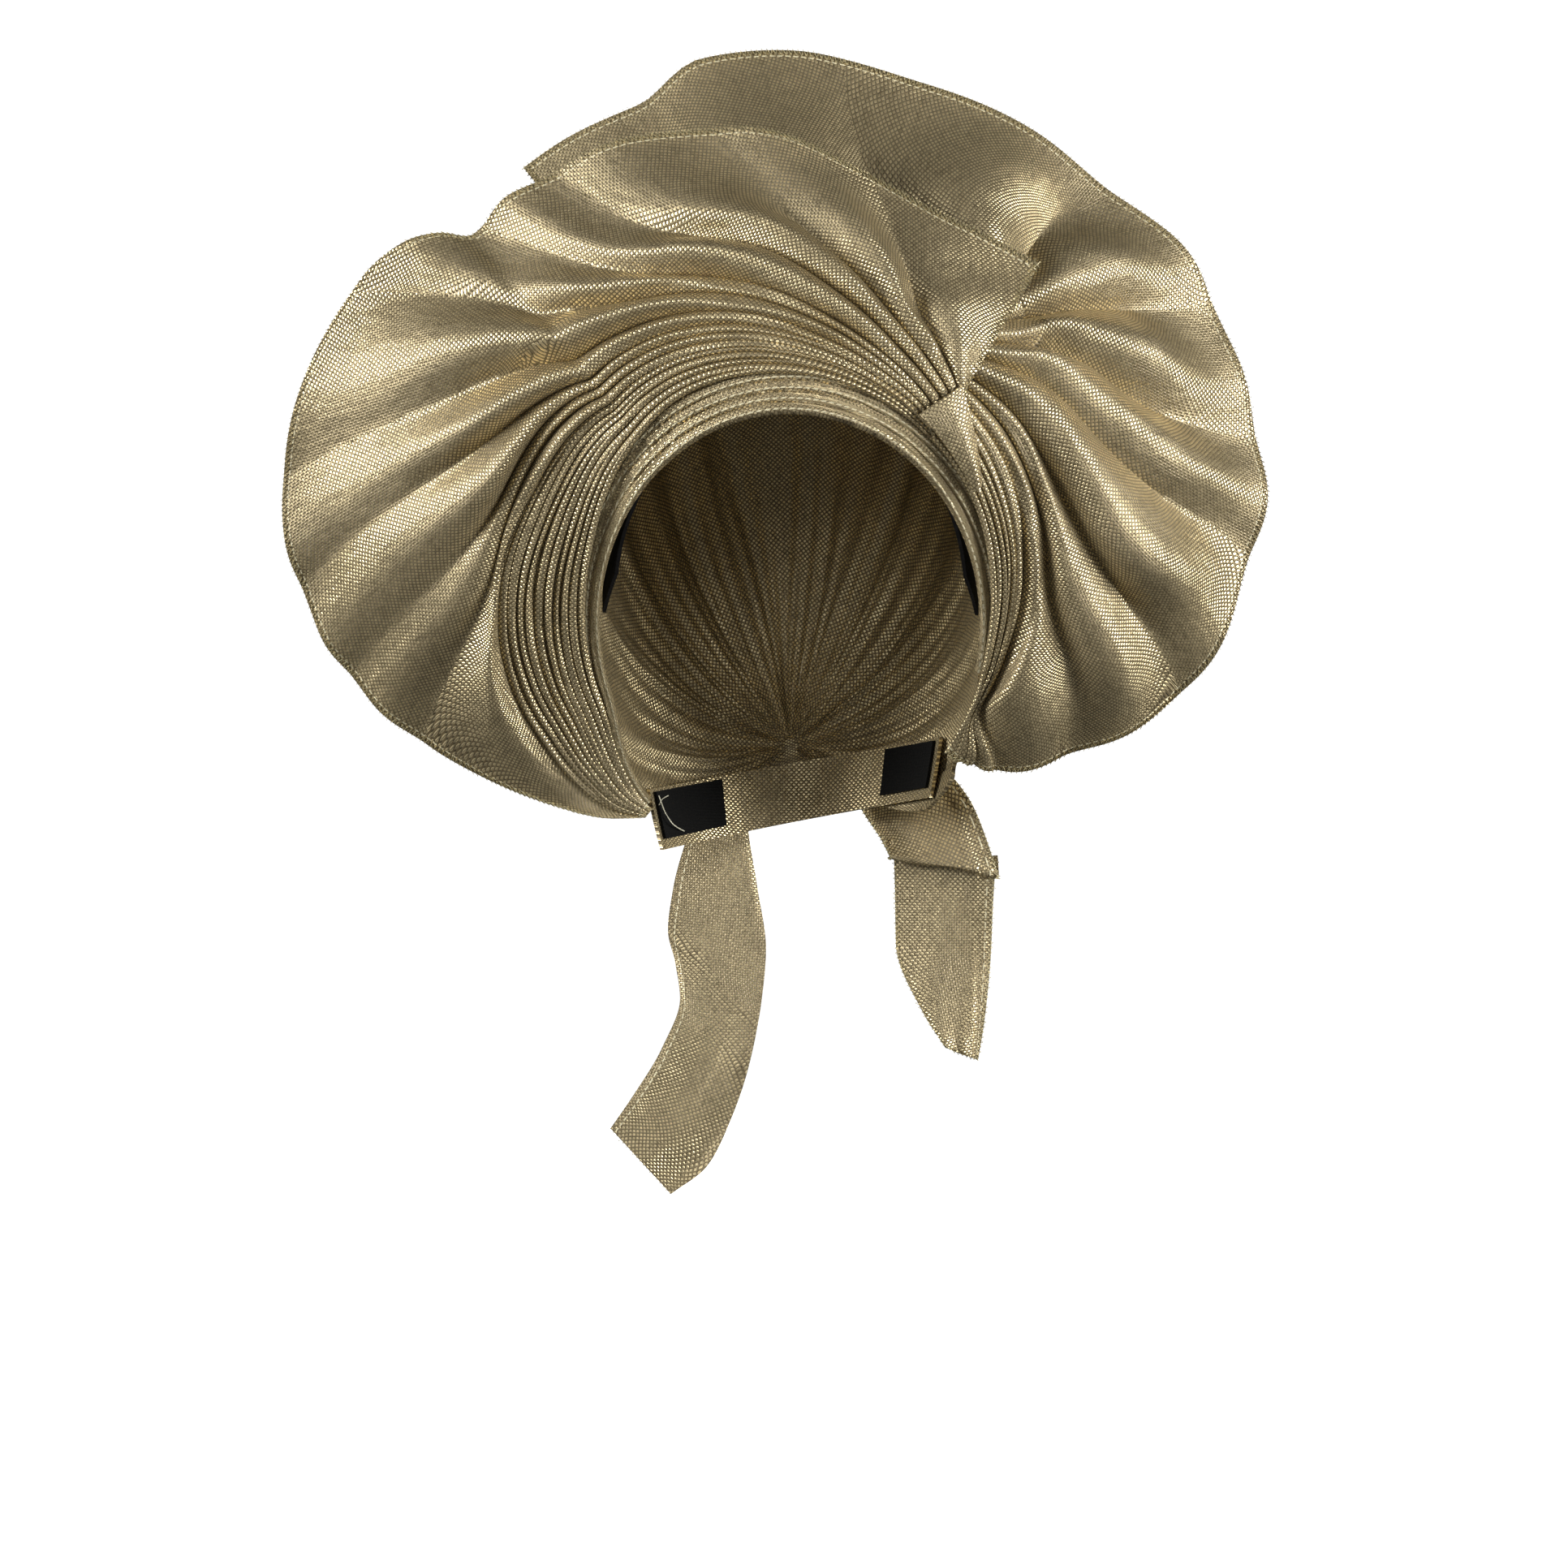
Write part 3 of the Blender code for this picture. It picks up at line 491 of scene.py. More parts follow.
LEFT_RIM = [
    Rim(55, 0.800), Rim(68, 0.790), Rim(82, 0.838), Rim(98, 0.907), Rim(112, 0.925),
    Rim(123, 0.925), Rim(129, 0.913), Rim(132, 0.952), Rim(135.5, 0.982), Rim(141, 1.000),
    Rim(152, 0.988), Rim(165, 0.958), Rim(180, 0.865), Rim(192, 0.758), Rim(204, 0.645),
    Rim(216, 0.555), Rim(225, 0.500), Rim(232, 0.445),
]
RIGHT_RIM = [
    Rim(-38, 0.375), Rim(-34, 0.430), Rim(-22, 0.545), Rim(-8, 0.693), Rim(6, 0.782),
    Rim(18, 0.857), Rim(31, 0.898), Rim(46, 0.942), Rim(54.5, 0.936), Rim(64, 0.951),
    Rim(76, 0.966), Rim(90, 1.000), Rim(99, 0.993), Rim(106, 0.940), Rim(114, 0.933),
    Rim(120, 0.922),
]
LEFT_FOLDS = [
    Fold(0.00, 54.5, 0.000, 0.00, 0.36, 232, 0.00, 1.0),
    Fold(0.25, 54.5, 0.013, 0.15, 0.36, 232, 0.36, 1.0),
    Fold(0.50, 54.5, 0.030, 0.31, 0.36, 232, 0.78, 1.0),
    Fold(0.55, 54.5, 0.040, 0.31, 0.76, 198, 1.00, 1.0),
    Fold(0.60, 54.6, 0.050, 0.33, 0.73, 187, 1.00, 1.0),
    Fold(0.65, 54.8, 0.062, 0.34, 0.57, 175, 1.00, 1.0),
    Fold(0.70, 55.0, 0.076, 0.39, 0.57, 163, 1.00, 1.1),
    Fold(0.75, 55.2, 0.092, 0.45, 0.57, 145, 1.00, 1.2),
    Fold(0.80, 55.2, 0.110, 0.45, 0.66, 129.5, 1.00, 1.2),
    Fold(0.85, 54.8, 0.160, 0.52, 0.79, 117, 1.00, 1.2),
    Fold(0.90, 54.2, 0.200, 0.50, 0.67, 98, 1.00, 1.3),
    Fold(0.95, 53.6, 0.235, 0.42, 0.12, 80, 1.00, 0.6),
    Fold(1.00, 53.2, 0.265, 0.50, 0.03, 55.5, 1.00, 0.1),
]
RIGHT_FOLDS = [
    Fold(0.000, 53.0, 0.00, 0.00, 0.83, -38, 0.00, 1.0),
    Fold(0.214, 53.4, 0.07, -0.03, 0.83, -38, 0.50, 1.0),
    Fold(0.429, 54.2, 0.15, -0.09, 0.83, -34, 1.00, 1.0),
    Fold(0.500, 54.8, 0.19, 0.02, 0.42, -25, 1.00, 1.0),
    Fold(0.571, 55.4, 0.22, 0.12, 0.18, -10, 1.00, 1.2),
    Fold(0.643, 57.0, 0.28, 0.28, 0.11, 8, 1.00, 1.3),
    Fold(0.714, 57.6, 0.33, 0.38, 0.26, 21, 1.00, 1.3),
    Fold(0.786, 58.0, 0.37, 0.45, 0.35, 38, 1.00, 1.3),
    Fold(0.857, 58.5, 0.37, 0.50, 0.35, 56, 1.00, 1.0),
    Fold(0.929, 60.0, 0.30, 0.35, 0.42, 85, 1.00, 0.9),
    Fold(1.000, 61.5, 0.20, 0.30, 0.89, 120, 1.00, 0.3),
]
BAND_SHOWS = [
    Show(-38, 0.06), Show(-8, 0.12), Show(10, 0.26), Show(34, 0.50), Show(60, 0.68),
    Show(90, 0.85), Show(114, 1.00), Show(136, 0.74), Show(160, 0.41), Show(195, 0.26),
    Show(232, 0.12),
]
LEFT_FAN = Fan(LEFT_SPREAD, LEFT_RIM, LEFT_FOLDS, LEFT_RIM_FRONT, LEFT_RIM_SWEEP,
               LEFT_FINE_PLEATS, LEFT_BROAD_FOLDS, 0.0)
RIGHT_FAN = Fan(RIGHT_SPREAD, RIGHT_RIM, RIGHT_FOLDS, RIGHT_RIM_FRONT, RIGHT_RIM_SWEEP,
                RIGHT_FINE_PLEATS, RIGHT_BROAD_FOLDS, 1.0)
print(len(LEFT_FOLDS) + len(RIGHT_FOLDS), "rows of folds")

# %% [markdown]
# A fan is described from the front, in polar coordinates about the middle of the face: an angle,
# and a reach that runs from 0 at the face opening to 1 at the rim. Every fold leaves the gather,
# hugs the face for a while and turns out to the rim, which gives the whirl of pleats over the
# forehead.

# %% The sheet that a fan lies on
def through(rows, column, at, key="angle"):
    """A column's value at a key, on a smooth curve through the rows that never overshoots."""
    keys = np.array([getattr(row, key) for row in rows], float)
    values = np.array([getattr(row, column) for row in rows], float)
    steps = np.diff(values) / np.diff(keys)
    slopes = np.zeros(len(rows))
    turning = steps[:-1] * steps[1:] > 0
    before, after = steps[:-1][turning], steps[1:][turning]
    slopes[1:-1][turning] = 2 * before * after / (before + after)
    slopes[0], slopes[-1] = steps[0], steps[-1]
    at = np.clip(np.asarray(at, float), keys[0], keys[-1])
    i = np.clip(np.searchsorted(keys, at) - 1, 0, len(rows) - 2)
    span = keys[i + 1] - keys[i]
    f = (at - keys[i]) / span
    rise = f * f * (3 - 2 * f)
    return (values[i] + (values[i + 1] - values[i]) * rise
            + span * f * (1 - f) * ((1 - f) * slopes[i] - f * slopes[i + 1]))


def ease(x):
    """0 below 0, 1 above 1, and smooth between."""
    x = np.clip(x, 0.0, 1.0)
    return x * x * (3 - 2 * x)


def face_radius(angle):
    """Distance from the origin to the face opening's edge, seen from the front."""
    turn = np.radians(angle)
    a, b = FACE_WIDTH / 2, FACE_HEIGHT / 2
    oval = a * b / np.hypot(b * np.cos(turn), a * np.sin(turn))
    return oval + JAW_FLARE * ease((np.asarray(angle) - JAW_FROM) / JAW_OVER)


def rim_radius(fan, angle):
    """Distance from the origin to a fan's rim, seen from the front."""
    return fan.spread * through(fan.rim, "reach", angle)


def band_shown(angle):
    """Width of the brow band that shows at an angle, between the face and the fans."""
    return BAND_WIDTH * through(BAND_SHOWS, "share", angle)


def sheet_point(fan, angle, reach):
    """A point of a fan's smooth base sheet: reach 0 is the face opening's edge and 1 the rim."""
    turn = np.radians(angle)
    inner = face_radius(angle)
    outer = rim_radius(fan, angle)
    radius = inner + (outer - inner) * reach
    inner_y = -FACE_SETBACK - FACE_LEAN * inner * np.sin(turn)
    lowness = np.clip((fan.spread - outer * np.sin(turn)) / (1.3 * fan.spread), 0, None)
    outer_y = -fan.front + fan.sweep * lowness ** RIM_SWEEP_POWER
    dish = DISH * (outer - inner) * 16 * reach ** 2 * (1 - reach) ** 2
    y = inner_y + (outer_y - inner_y) * reach - dish
    return np.stack([radius * np.cos(turn), y, radius * np.sin(turn)], axis=-1)


print("brow height of the face opening", round(float(face_radius(90.0)), 4))

# %% [markdown]
# A place on the cloth has two shares: which fold it is on, and how far along that fold. The table
# of folds turns them into an angle and a reach, and the base sheet turns those into a point. Where
# one fan passes behind the other, the point is pushed back.

# %% Folds on the sheet
def front_normal(point_at, a, b, step_a, step_b, keep=False):
    """Unit normal of a surface point_at(a, b), turned to the front unless its side is kept."""
    along = point_at(a + step_a, b) - point_at(a - step_a, b)
    across = point_at(a, b + step_b) - point_at(a, b - step_b)
    normal = np.cross(along, across)
    normal /= np.linalg.norm(normal, axis=-1, keepdims=True)
    return normal if keep else normal * np.where(normal[..., 1:2] > 0, -1.0, 1.0)


def fold_place(fan, share, along):
    """Angle and reach on the base sheet of the point that lies along a fold."""
    columns = ("start_angle", "end_angle", "start_reach", "end_reach", "drift", "turn")
    start_angle, end_angle, start, end, drift, turn = (
        through(fan.folds, column, share, "share") for column in columns)
    angle = start_angle + (end_angle - start_angle) * along
    outward = np.clip((along - turn) / (1 - turn), 0, None) ** TURN_POWER
    reach = start + drift * along + (end - start - drift) * outward
    shown = band_shown(angle) / (rim_radius(fan, angle) - face_radius(angle))
    return angle, shown + (1 - shown) * reach


def behind_offset(fan, share, along):
    """How far the back fan passes behind the front one. Its lower folds stay level with it."""
    step = BEHIND_STEP * ease((share - 0.34) / 0.16)
    return fan.behind * (step + BEHIND_DEPTH * ease((share - 0.58) / 0.22) * ease(along / 0.28))


def cloth_point(fan, share, along):
    """The base sheet at a place on the cloth, pushed back where one fan passes behind."""
    point = sheet_point(fan, *fold_place(fan, share, along))
    point[..., 1] += behind_offset(fan, share, along)
    return point


rim_spot = cloth_point(LEFT_FAN, np.array([0.7]), np.array([1.0]))[0]
print("a place on the left rim", rim_spot.round(4))

# %% [markdown]
# Hand-pleated cloth is never even. We let the folds wander a little, by a few sine waves with
# seeded phases: smooth, repeatable and cheap. A fine pleat is a tight roll, nearly a half circle,
# so the valleys beside it close up and go dark. A broad fold is a soft wave with a small ripple of
# its own.

# %% Uneven pleats
def uneven(seed, waves, *spots):
    """Smooth seeded noise of about -1 to 1. Waves gives the most cycles a unit for each spot."""
    random = np.random.default_rng(seed)
    total = 0.0
    for _ in range(6):
        turn = random.uniform(0, 2 * np.pi)
        for spot, most in zip(spots, waves):
            turn = turn + 2 * np.pi * random.uniform(-most, most) * spot
        total = total + np.sin(turn)
    return total / 2.6


WANDER = 0.12
CROWDED = 0.0017
WIDTH_SOFTENING = 9


def softened(table, rows):
    """A table averaged along its rows, each with its neighbours up to some rows away."""
    weights = np.hanning(2 * rows + 3)[1:-1]
    padded = np.pad(table, ((0, 0), (rows, rows)), mode="edge")
    return np.stack([np.convolve(line, weights / weights.sum(), "valid") for line in padded])


def fold_width(fan, share, along):
    """Width of one fold, measured square to its run, without sudden changes along it."""
    step = 0.002
    across = (cloth_point(fan, share + step, along) - cloth_point(fan, share - step, along))
    onward = (cloth_point(fan, share, along + step) - cloth_point(fan, share, along - step))
    onward /= np.linalg.norm(onward, axis=-1, keepdims=True) + 1e-9
    spacing = np.linalg.norm(np.cross(across, onward), axis=-1) / (2 * step)
    return softened(spacing / (fan.fine + fan.broad), WIDTH_SOFTENING)


print("noise sample", round(float(uneven(3, (1.0,), 0.3)), 3))

# %% [markdown]
# The height of a pleat follows its width: the more room a fold has, the taller it stands, up to a
# limit. Folds that crowd at the gather lie together as one. We work out three sets of pleats, of
# one, two and four folds each, and blend from one set to the next by the room that there is.

# %% Height of the pleats
LEAN = 0.16
ROLL_TALL = 1.25
ROLL_POWER = 0.62
BROAD_TALL = 1.55
BROAD_POWER = 1.05
RIM_POWER = 0.55
BROAD_FROM = 0.006
BROAD_OVER = 0.014
UNEVEN_HEIGHT = 0.16
RIPPLE_HEIGHT = 0.0008


def dense_pleats(fan, number, along, seed):
    """Height of the pleats over the base sheet, with every roll a little different."""
    total = fan.fine + fan.broad
    share = number / total
    width = fold_width(fan, share, along)
    most = BROAD_FOLD_HEIGHT * through(fan.folds, "height", share, "share")
    alone = ease((width - CROWDED) / (0.5 * CROWDED))
    by_twos = (1 - alone) * ease((2 * width - CROWDED) / (0.5 * CROWDED))
    flatter = 1 - RIM_FLATNESS * ease((along - 0.7) / 0.3)
    wave_power = BROAD_POWER + RIM_POWER * ease((along - 0.6) / 0.35)
    lift = 0.0
    for together, weight in ((1, alone), (2, by_twos), (4, 1 - alone - by_twos)):
        each = np.floor(np.minimum(number, total - 1e-6) / together)
        phase = number / together - each
        wide = width * together
        tall = most * (1 - np.exp(-FOLD_STEEPNESS * wide / most))
        leaning = np.clip(phase + LEAN * phase * (1 - phase), 0, 1)
        roll = np.clip(1 - (2 * leaning - 1) ** 2, 0, 1) ** ROLL_POWER
        wave = np.clip(np.sin(np.pi * leaning), 0, 1) ** wave_power
        broadness = ease((wide - BROAD_FROM) / BROAD_OVER)
        differs = (1 + UNEVEN_HEIGHT * uneven(seed + together, (3.1, 1.2), each, along)
                   * ease(along / 0.1))
        shape = ROLL_TALL * roll * (1 - broadness) + BROAD_TALL * wave * broadness
        lift = lift + weight * tall * flatter * differs * shape
    ripple = RIPPLE_HEIGHT * uneven(seed, (1.6, 3.5), number, along) * broadness
    return lift + ripple * ease(along / 0.3)


# Places where a pleat ends in a small tuck, sewn down and pinched into a pit.
Tuck = namedtuple("Tuck", "angle reach")
LEFT_TUCKS = [
    Tuck(69.9, 0.218), Tuck(92.4, 0.212), Tuck(124.8, 0.189), Tuck(151.8, 0.245),
    Tuck(167.0, 0.199), Tuck(179.7, 0.192), Tuck(192.8, 0.195), Tuck(207.5, 0.093),
]
TUCK_TURN = 1.0
TUCK_REACH = 0.012
TUCK_DEPTH = 0.9


def pinched(lift, angle, reach, tucks):
    """The height of the pleats, pressed down at the tucks."""
    for tuck in tucks:
        off = ((angle - tuck.angle) / TUCK_TURN) ** 2 + ((reach - tuck.reach) / TUCK_REACH) ** 2
        lift = lift * (1 - TUCK_DEPTH * np.exp(-off))
    return lift


print(len(LEFT_TUCKS), "tucks")

# %% [markdown]
# Every cloth piece is a slab with a front and a back face. A grid operator and a solidify make the
# slab flat, and then each point moves to its place on the finished cloth. We keep the places in a
# table of columns and rows, because the thread coordinates are measured along it.
#
# Threads run along a fold. So for each fold we measure from its crest: how far along the crest,
# and how far to the side. At the valleys the coordinates start anew, which hides in the shade.

# %% Cloth builder
FOLD_SHIFT = np.array([0.00137, 0.00091])


def run_along(line):
    """Distance along a line of points, from its first one to each."""
    return np.concatenate([[0], np.cumsum(np.linalg.norm(np.diff(line, axis=0), axis=-1))])


def thread_coordinates(places, breaks):
    """Thread coordinates in metres, measured from the crest of each fold between two breaks.

    Two tables come back: for the cloth on the left of each column and for that on its right.
    """
    left = np.zeros(places.shape[:2] + (2,))
    right = np.zeros_like(left)
    for first, last in zip(breaks[:-1], breaks[1:]):
        crest = (first + last) // 2
        line = places[crest]
        run = run_along(line)
        onward = np.gradient(line, axis=0)
        onward /= np.linalg.norm(onward, axis=1, keepdims=True) + 1e-12
        steps = np.diff(places[first:last + 1], axis=0)
        forward = (steps * onward).sum(-1)
        sideways = np.linalg.norm(steps - forward[..., None] * onward, axis=-1)
        side = np.concatenate([np.zeros((1, len(line))), np.cumsum(sideways, axis=0)])
        ahead = np.concatenate([np.zeros((1, len(line))), np.cumsum(forward, axis=0)])
        part = np.stack([side - side[crest - first], run + ahead - ahead[crest - first]], axis=-1)
        part += FOLD_SHIFT * first
        right[first:last] = part[:-1]
        left[first + 1:last + 1] = part[1:]
    left[0], right[-1] = right[0], left[-1]
    return left, right


print("cloth moves by", FOLD_SHIFT, "from fold to fold")

# %% [markdown]
# Each piece rides the one body of the frame, stands for the plain solid that it covers, and gets
# its material. One function does all that, so no piece can be forgotten.

# %% Finished pieces
SHARP_ANGLE = math.radians(55)


def finish_piece(mesh, name, material, node=None):
    """The object of a finished mesh. Node names the plain solid that it replaces."""
    mesh.materials.append(material)
    mesh.shade_smooth()
    mesh.set_sharp_from_angle(angle=SHARP_ANGLE)
    piece = put_in_scene(name, mesh)
    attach(piece, "root")
    if node:
        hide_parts(node)
    return piece


def cloth_piece(name, node, front, back, material=gold_cloth, breaks=None, rim=None):
    """A closed sheet of cloth with a front and a back face, each a table of columns and rows."""
    columns, rows = front.shape[0] - 1, front.shape[1] - 1
    slab = bmesh.new()
    bmesh.ops.create_grid(slab, x_segments=columns, y_segments=rows, size=0.5)
    bmesh.ops.solidify(slab, geom=slab.faces[:], thickness=1.0)
    spots = np.array([vertex.co for vertex in slab.verts])
    column = np.round((spots[:, 0] + 0.5) * columns).astype(int)
    row = np.round((spots[:, 1] + 0.5) * rows).astype(int)
    is_back = (spots[:, 2].max() - spots[:, 2]) > 0.5
    places = np.where(is_back[:, None], back[column, row], front[column, row])
    mesh = bpy.data.meshes.new(name)
    slab.to_mesh(mesh)
    slab.free()
    mesh.vertices.foreach_set("co", places.astype(np.float32).ravel())
    closed = bmesh.new()
    closed.from_mesh(mesh)
    bmesh.ops.recalc_face_normals(closed, faces=closed.faces[:])
    if closed.calc_volume(signed=True) < 0:
        bmesh.ops.reverse_faces(closed, faces=closed.faces[:])
    closed.to_mesh(mesh)
    closed.free()

    corner = np.zeros(len(mesh.loops), int)
    mesh.loops.foreach_get("vertex_index", corner)
    sides = np.zeros(len(mesh.polygons), int)
    mesh.polygons.foreach_get("loop_total", sides)
    face = np.repeat(np.arange(len(mesh.polygons)), sides)
    middle = np.bincount(face, column[corner]) / sides
    to_right = middle[face] > column[corner]
    left, right = thread_coordinates(front, breaks or [0, columns])
    at = (column[corner], row[corner])
    threads = np.where(to_right[:, None], right[at], left[at])
    edges = rim[at] if rim is not None else np.tile([0.0, 1.0], (len(corner), 1))
    for layer, values in (("threads", threads), ("rim", edges)):
        mesh.uv_layers.new(name=layer).uv.foreach_set("vector", values.astype(np.float32).ravel())
    return finish_piece(mesh, name, material, node)


def rim_coordinates(front):
    """Distance along and in from the rim, which is the last row of a sheet."""
    steps = np.linalg.norm(np.diff(front, axis=1), axis=-1)
    inwards = np.zeros(front.shape[:2])
    inwards[:, :-1] = np.cumsum(steps[:, ::-1], axis=1)[:, ::-1]
    along = run_along(front[:, -1])[:, None]
    return np.stack([np.repeat(along, front.shape[1], axis=1), inwards], axis=-1)


def unit_grid(columns, rows):
    """Two tables that run from 0 to 1, one over the columns and one over the rows of a sheet."""
    return np.meshgrid(np.linspace(0, 1, columns + 1), np.linspace(0, 1, rows + 1), indexing="ij")


def tell(*pieces):
    """Prints what was made: triangles, and the area of one face of a thin closed sheet."""
    for piece in pieces:
        polygons = piece.data.polygons
        print(piece.name, sum(len(polygon.vertices) - 2 for polygon in polygons), "triangles,",
              round(sum(polygon.area for polygon in polygons) / 2, 5), "square metres")


# %% [markdown]
# Now the two fans. A fine pleat gets ten columns and a broad fold twenty six, enough for smooth
# rolls. The back face repeats the front one a cloth's thickness behind it, so from behind the same
# pleats show inside out, as they do on the real thing.

# %% Fans
FINE_COLUMNS = 10
BROAD_COLUMNS = 26
FAN_CLOTH = 0.6
Sheet = namedtuple("Sheet", "piece front normal")


def pleated_fan(name, node, fan, rows, seed, tucks=()):
    fine, broad = FINE_COLUMNS * fan.fine, BROAD_COLUMNS * fan.broad
    column = np.arange(fine + broad + 1)
    number = np.where(column <= fine, column / FINE_COLUMNS,
                      fan.fine + (column - fine) / BROAD_COLUMNS)
    number, along = np.meshgrid(number, np.linspace(0, 1, rows + 1), indexing="ij")
    total = fan.fine + fan.broad
    inner = ease(number / 2) * ease((total - number) / 2)
    wander = WANDER * uneven(seed, (0.35, 1.3), number, along) * inner * ease(along / 0.08)
    share = (number + wander) / total
    point = cloth_point(fan, share, along)
    normal = front_normal(partial(cloth_point, fan), share, np.clip(along, 0.01, 0.99),
                          0.004, 0.008)
    pleats = dense_pleats(fan, number, along, seed + 10)
    lift = pinched(pleats, *fold_place(fan, share, along), tucks)
    front = point + normal * lift[..., None]
    back = front - normal * CLOTH * FAN_CLOTH
    breaks = [*range(0, fine, FINE_COLUMNS), *range(fine, fine + broad + 1, BROAD_COLUMNS)]
    piece = cloth_piece(name, node, front, back, breaks=breaks, rim=rim_coordinates(front))
    return Sheet(piece, front, normal)


left_fan = pleated_fan("left_fan_cloth", "left_fan", LEFT_FAN, 118, 11, LEFT_TUCKS)
right_fan = pleated_fan("right_fan_cloth", "right_fan", RIGHT_FAN, 124, 31)
tell(left_fan.piece, right_fan.piece)

# %% [markdown]
# The brow band edges the face with flat strips of folded and stitched cloth that lie side by side
# like narrow shingles. Each strip is about 4 mm wide. Towards both temples the strips slip one
# after another under the pleats, and over the right brow they end one by one in squared steps.

# %% Brow band
STRIPS = 5
STRIP_ROWS = 9
STRIP_RISE = 0.0014
STRIP_SQUARENESS = 5
STRIP_END_SHARE = 0.35
STITCH_IN_STRIP = 0.25
BAND_FIRST, BAND_LAST = -14.0, 231.0
BAND_COLUMNS = 420
BAND_EDGE = 0.0006
BAND_UNEVEN = 0.0002
StripEnd = namedtuple("StripEnd", "strip angle")
STRIP_ENDS = [StripEnd(4, 119.0), StripEnd(3, 123.5), StripEnd(2, 129.0), StripEnd(1, 138.0)]


def band_sheet(angle, radius):
    """The smooth sheet that the brow band follows, which joins both fans' base sheets."""
    inner = face_radius(angle)
    mix = ease((angle - GATHER_ANGLE) / 8.0 + 0.5)[..., None]
    right, left = (sheet_point(fan, angle, (radius - inner) / (rim_radius(fan, angle) - inner))
                   for fan in (RIGHT_FAN, LEFT_FAN))
    return right * (1 - mix) + left * mix


def brow_band():
    angle, v = np.meshgrid(np.linspace(BAND_FIRST, BAND_LAST, BAND_COLUMNS + 1),
                           np.linspace(0, 1, STRIP_ROWS * STRIPS + 1), indexing="ij")
    reach = band_shown(angle) + BAND_TUCK
    radius = face_radius(angle) + reach * v
    width = (BAND_WIDTH + BAND_TUCK) / STRIPS
    across = reach * v / width
    strip = np.floor(np.minimum(across, STRIPS - 1e-6))
    phase = across - strip
    profile = (1 - np.abs(2 * phase - 1) ** STRIP_SQUARENESS) * (0.75 + 0.5 * (1 - phase))
    shares = np.ones_like(angle)
    for end in STRIP_ENDS:
        shares = np.where((strip == end.strip) & (angle > end.angle), STRIP_END_SHARE, shares)
    lift = STRIP_RISE * profile * shares * ease(v * reach / BAND_EDGE)
    lift += BAND_UNEVEN * uneven(5, (0.02, 4.0), angle, v)
    point = band_sheet(angle, radius)
    normal = front_normal(band_sheet, angle, radius, 1.0, 0.002)
    behind = CLOTH + BAND_GAP + BAND_LAYER_STEP * (BAND_LAYERS - 1) * ease(1.5 - 1.5 * v)
    front = point - normal * (behind - lift)[..., None]
    back = point - normal * (behind + CLOTH)[..., None]
    stitched = STITCH_FROM_EDGE + (phase - STITCH_IN_STRIP) * width
    rim = np.stack([np.radians(angle) * radius, stitched], axis=-1)
    return cloth_piece("brow_band_cloth", "brow_band", front, back, rim=rim)


band = brow_band()
tell(band)

# %% [markdown]
# Under the brow band the crown cap covers the head. It is an egg, gathered towards the knot at the
# nape. We walk from the knot along meridians until we meet the back of the band, so the two always
# close.

# %% The egg and its front edge
def egg_point(direction, inset=0.0):
    """Where a ray from the cap's centre meets the egg that the cap lies on, moved in by inset."""
    centre = np.array([0.0, CAP_CENTRE_BACK, CAP_CENTRE_UP])
    upright = np.where(direction[..., 2] > 0, CAP_CROWN_RISE, CAP_NAPE_DROP)
    axes = np.stack([np.full_like(upright, CAP_WIDTH / 2), np.full_like(upright, CAP_DEPTH / 2),
                     upright], axis=-1)
    scaled = direction / axes
    point = direction / np.linalg.norm(scaled, axis=-1, keepdims=True)
    normal = point / axes ** 2
    normal /= np.linalg.norm(normal, axis=-1, keepdims=True)
    return centre + point - normal * np.asarray(inset)[..., None], normal


def meridian(turn, tilt):
    """Direction at an angle tilt from the nape knot, on the meridian that leaves it at turn."""
    slope = math.radians(KNOT_SLOPE)
    axis = np.array([0.0, math.cos(slope), -math.sin(slope)])
    rise = np.array([0.0, math.sin(slope), math.cos(slope)])
    side = np.array([1.0, 0.0, 0.0])
    turn, tilt = np.radians(turn)[..., None], np.radians(tilt)[..., None]
    return axis * np.cos(tilt) + np.sin(tilt) * (side * np.cos(turn) + rise * np.sin(turn))


def under_cap(point):
    """True where a point of the egg lies behind the brow band."""
    angle = np.degrees(np.arctan2(point[..., 2], point[..., 0]))
    angle = np.where(angle < -90, angle + 360, angle)
    angle = np.clip(angle, -38, 232)
    radius = np.maximum(np.hypot(point[..., 0], point[..., 2]), face_radius(angle))
    sheet = band_sheet(angle, radius)
    normal = front_normal(band_sheet, angle, radius, 1.0, 0.002)
    layers = 2 * CLOTH + BAND_GAP + (BAND_LAYERS - 1) * BAND_LAYER_STEP
    backs = (layers + CAP_CLEARANCE) / np.abs(normal[..., 1])
    return point[..., 1] > sheet[..., 1] + backs


def cap_edge(turn):
    """How far each meridian of the cap runs from the knot before it meets the band."""
    low = np.full_like(turn, 5.0)
    for tilt in np.arange(6.0, 175.0, 1.0):
        inside = under_cap(egg_point(meridian(turn, np.full_like(turn, tilt)))[0])
        low = np.where(inside & (low == tilt - 1.0), tilt, low)
    high = low + 1.0
    for _ in range(20):
        middle = (low + high) / 2
        inside = under_cap(egg_point(meridian(turn, middle))[0])
        low, high = np.where(inside, middle, low), np.where(inside, high, middle)
    return low


front_tilt = round(float(cap_edge(np.array([90.0]))[0]), 1)
print("the cap ends", front_tilt, "degrees from the knot at the top")

# %% [markdown]
# Broad gathers show at mid height of the cap, and many finer ones close to the knot. Both are
# cosine waves that fade in and out along the meridians.

# %% Crown cap
GATHER_COLUMNS = 24
CAP_ROWS = 60
GATHER_WANDER = 0.25
BROAD_GATHER = 1.1
FINE_GATHER = 0.45
FINE_IN_BROAD = 4


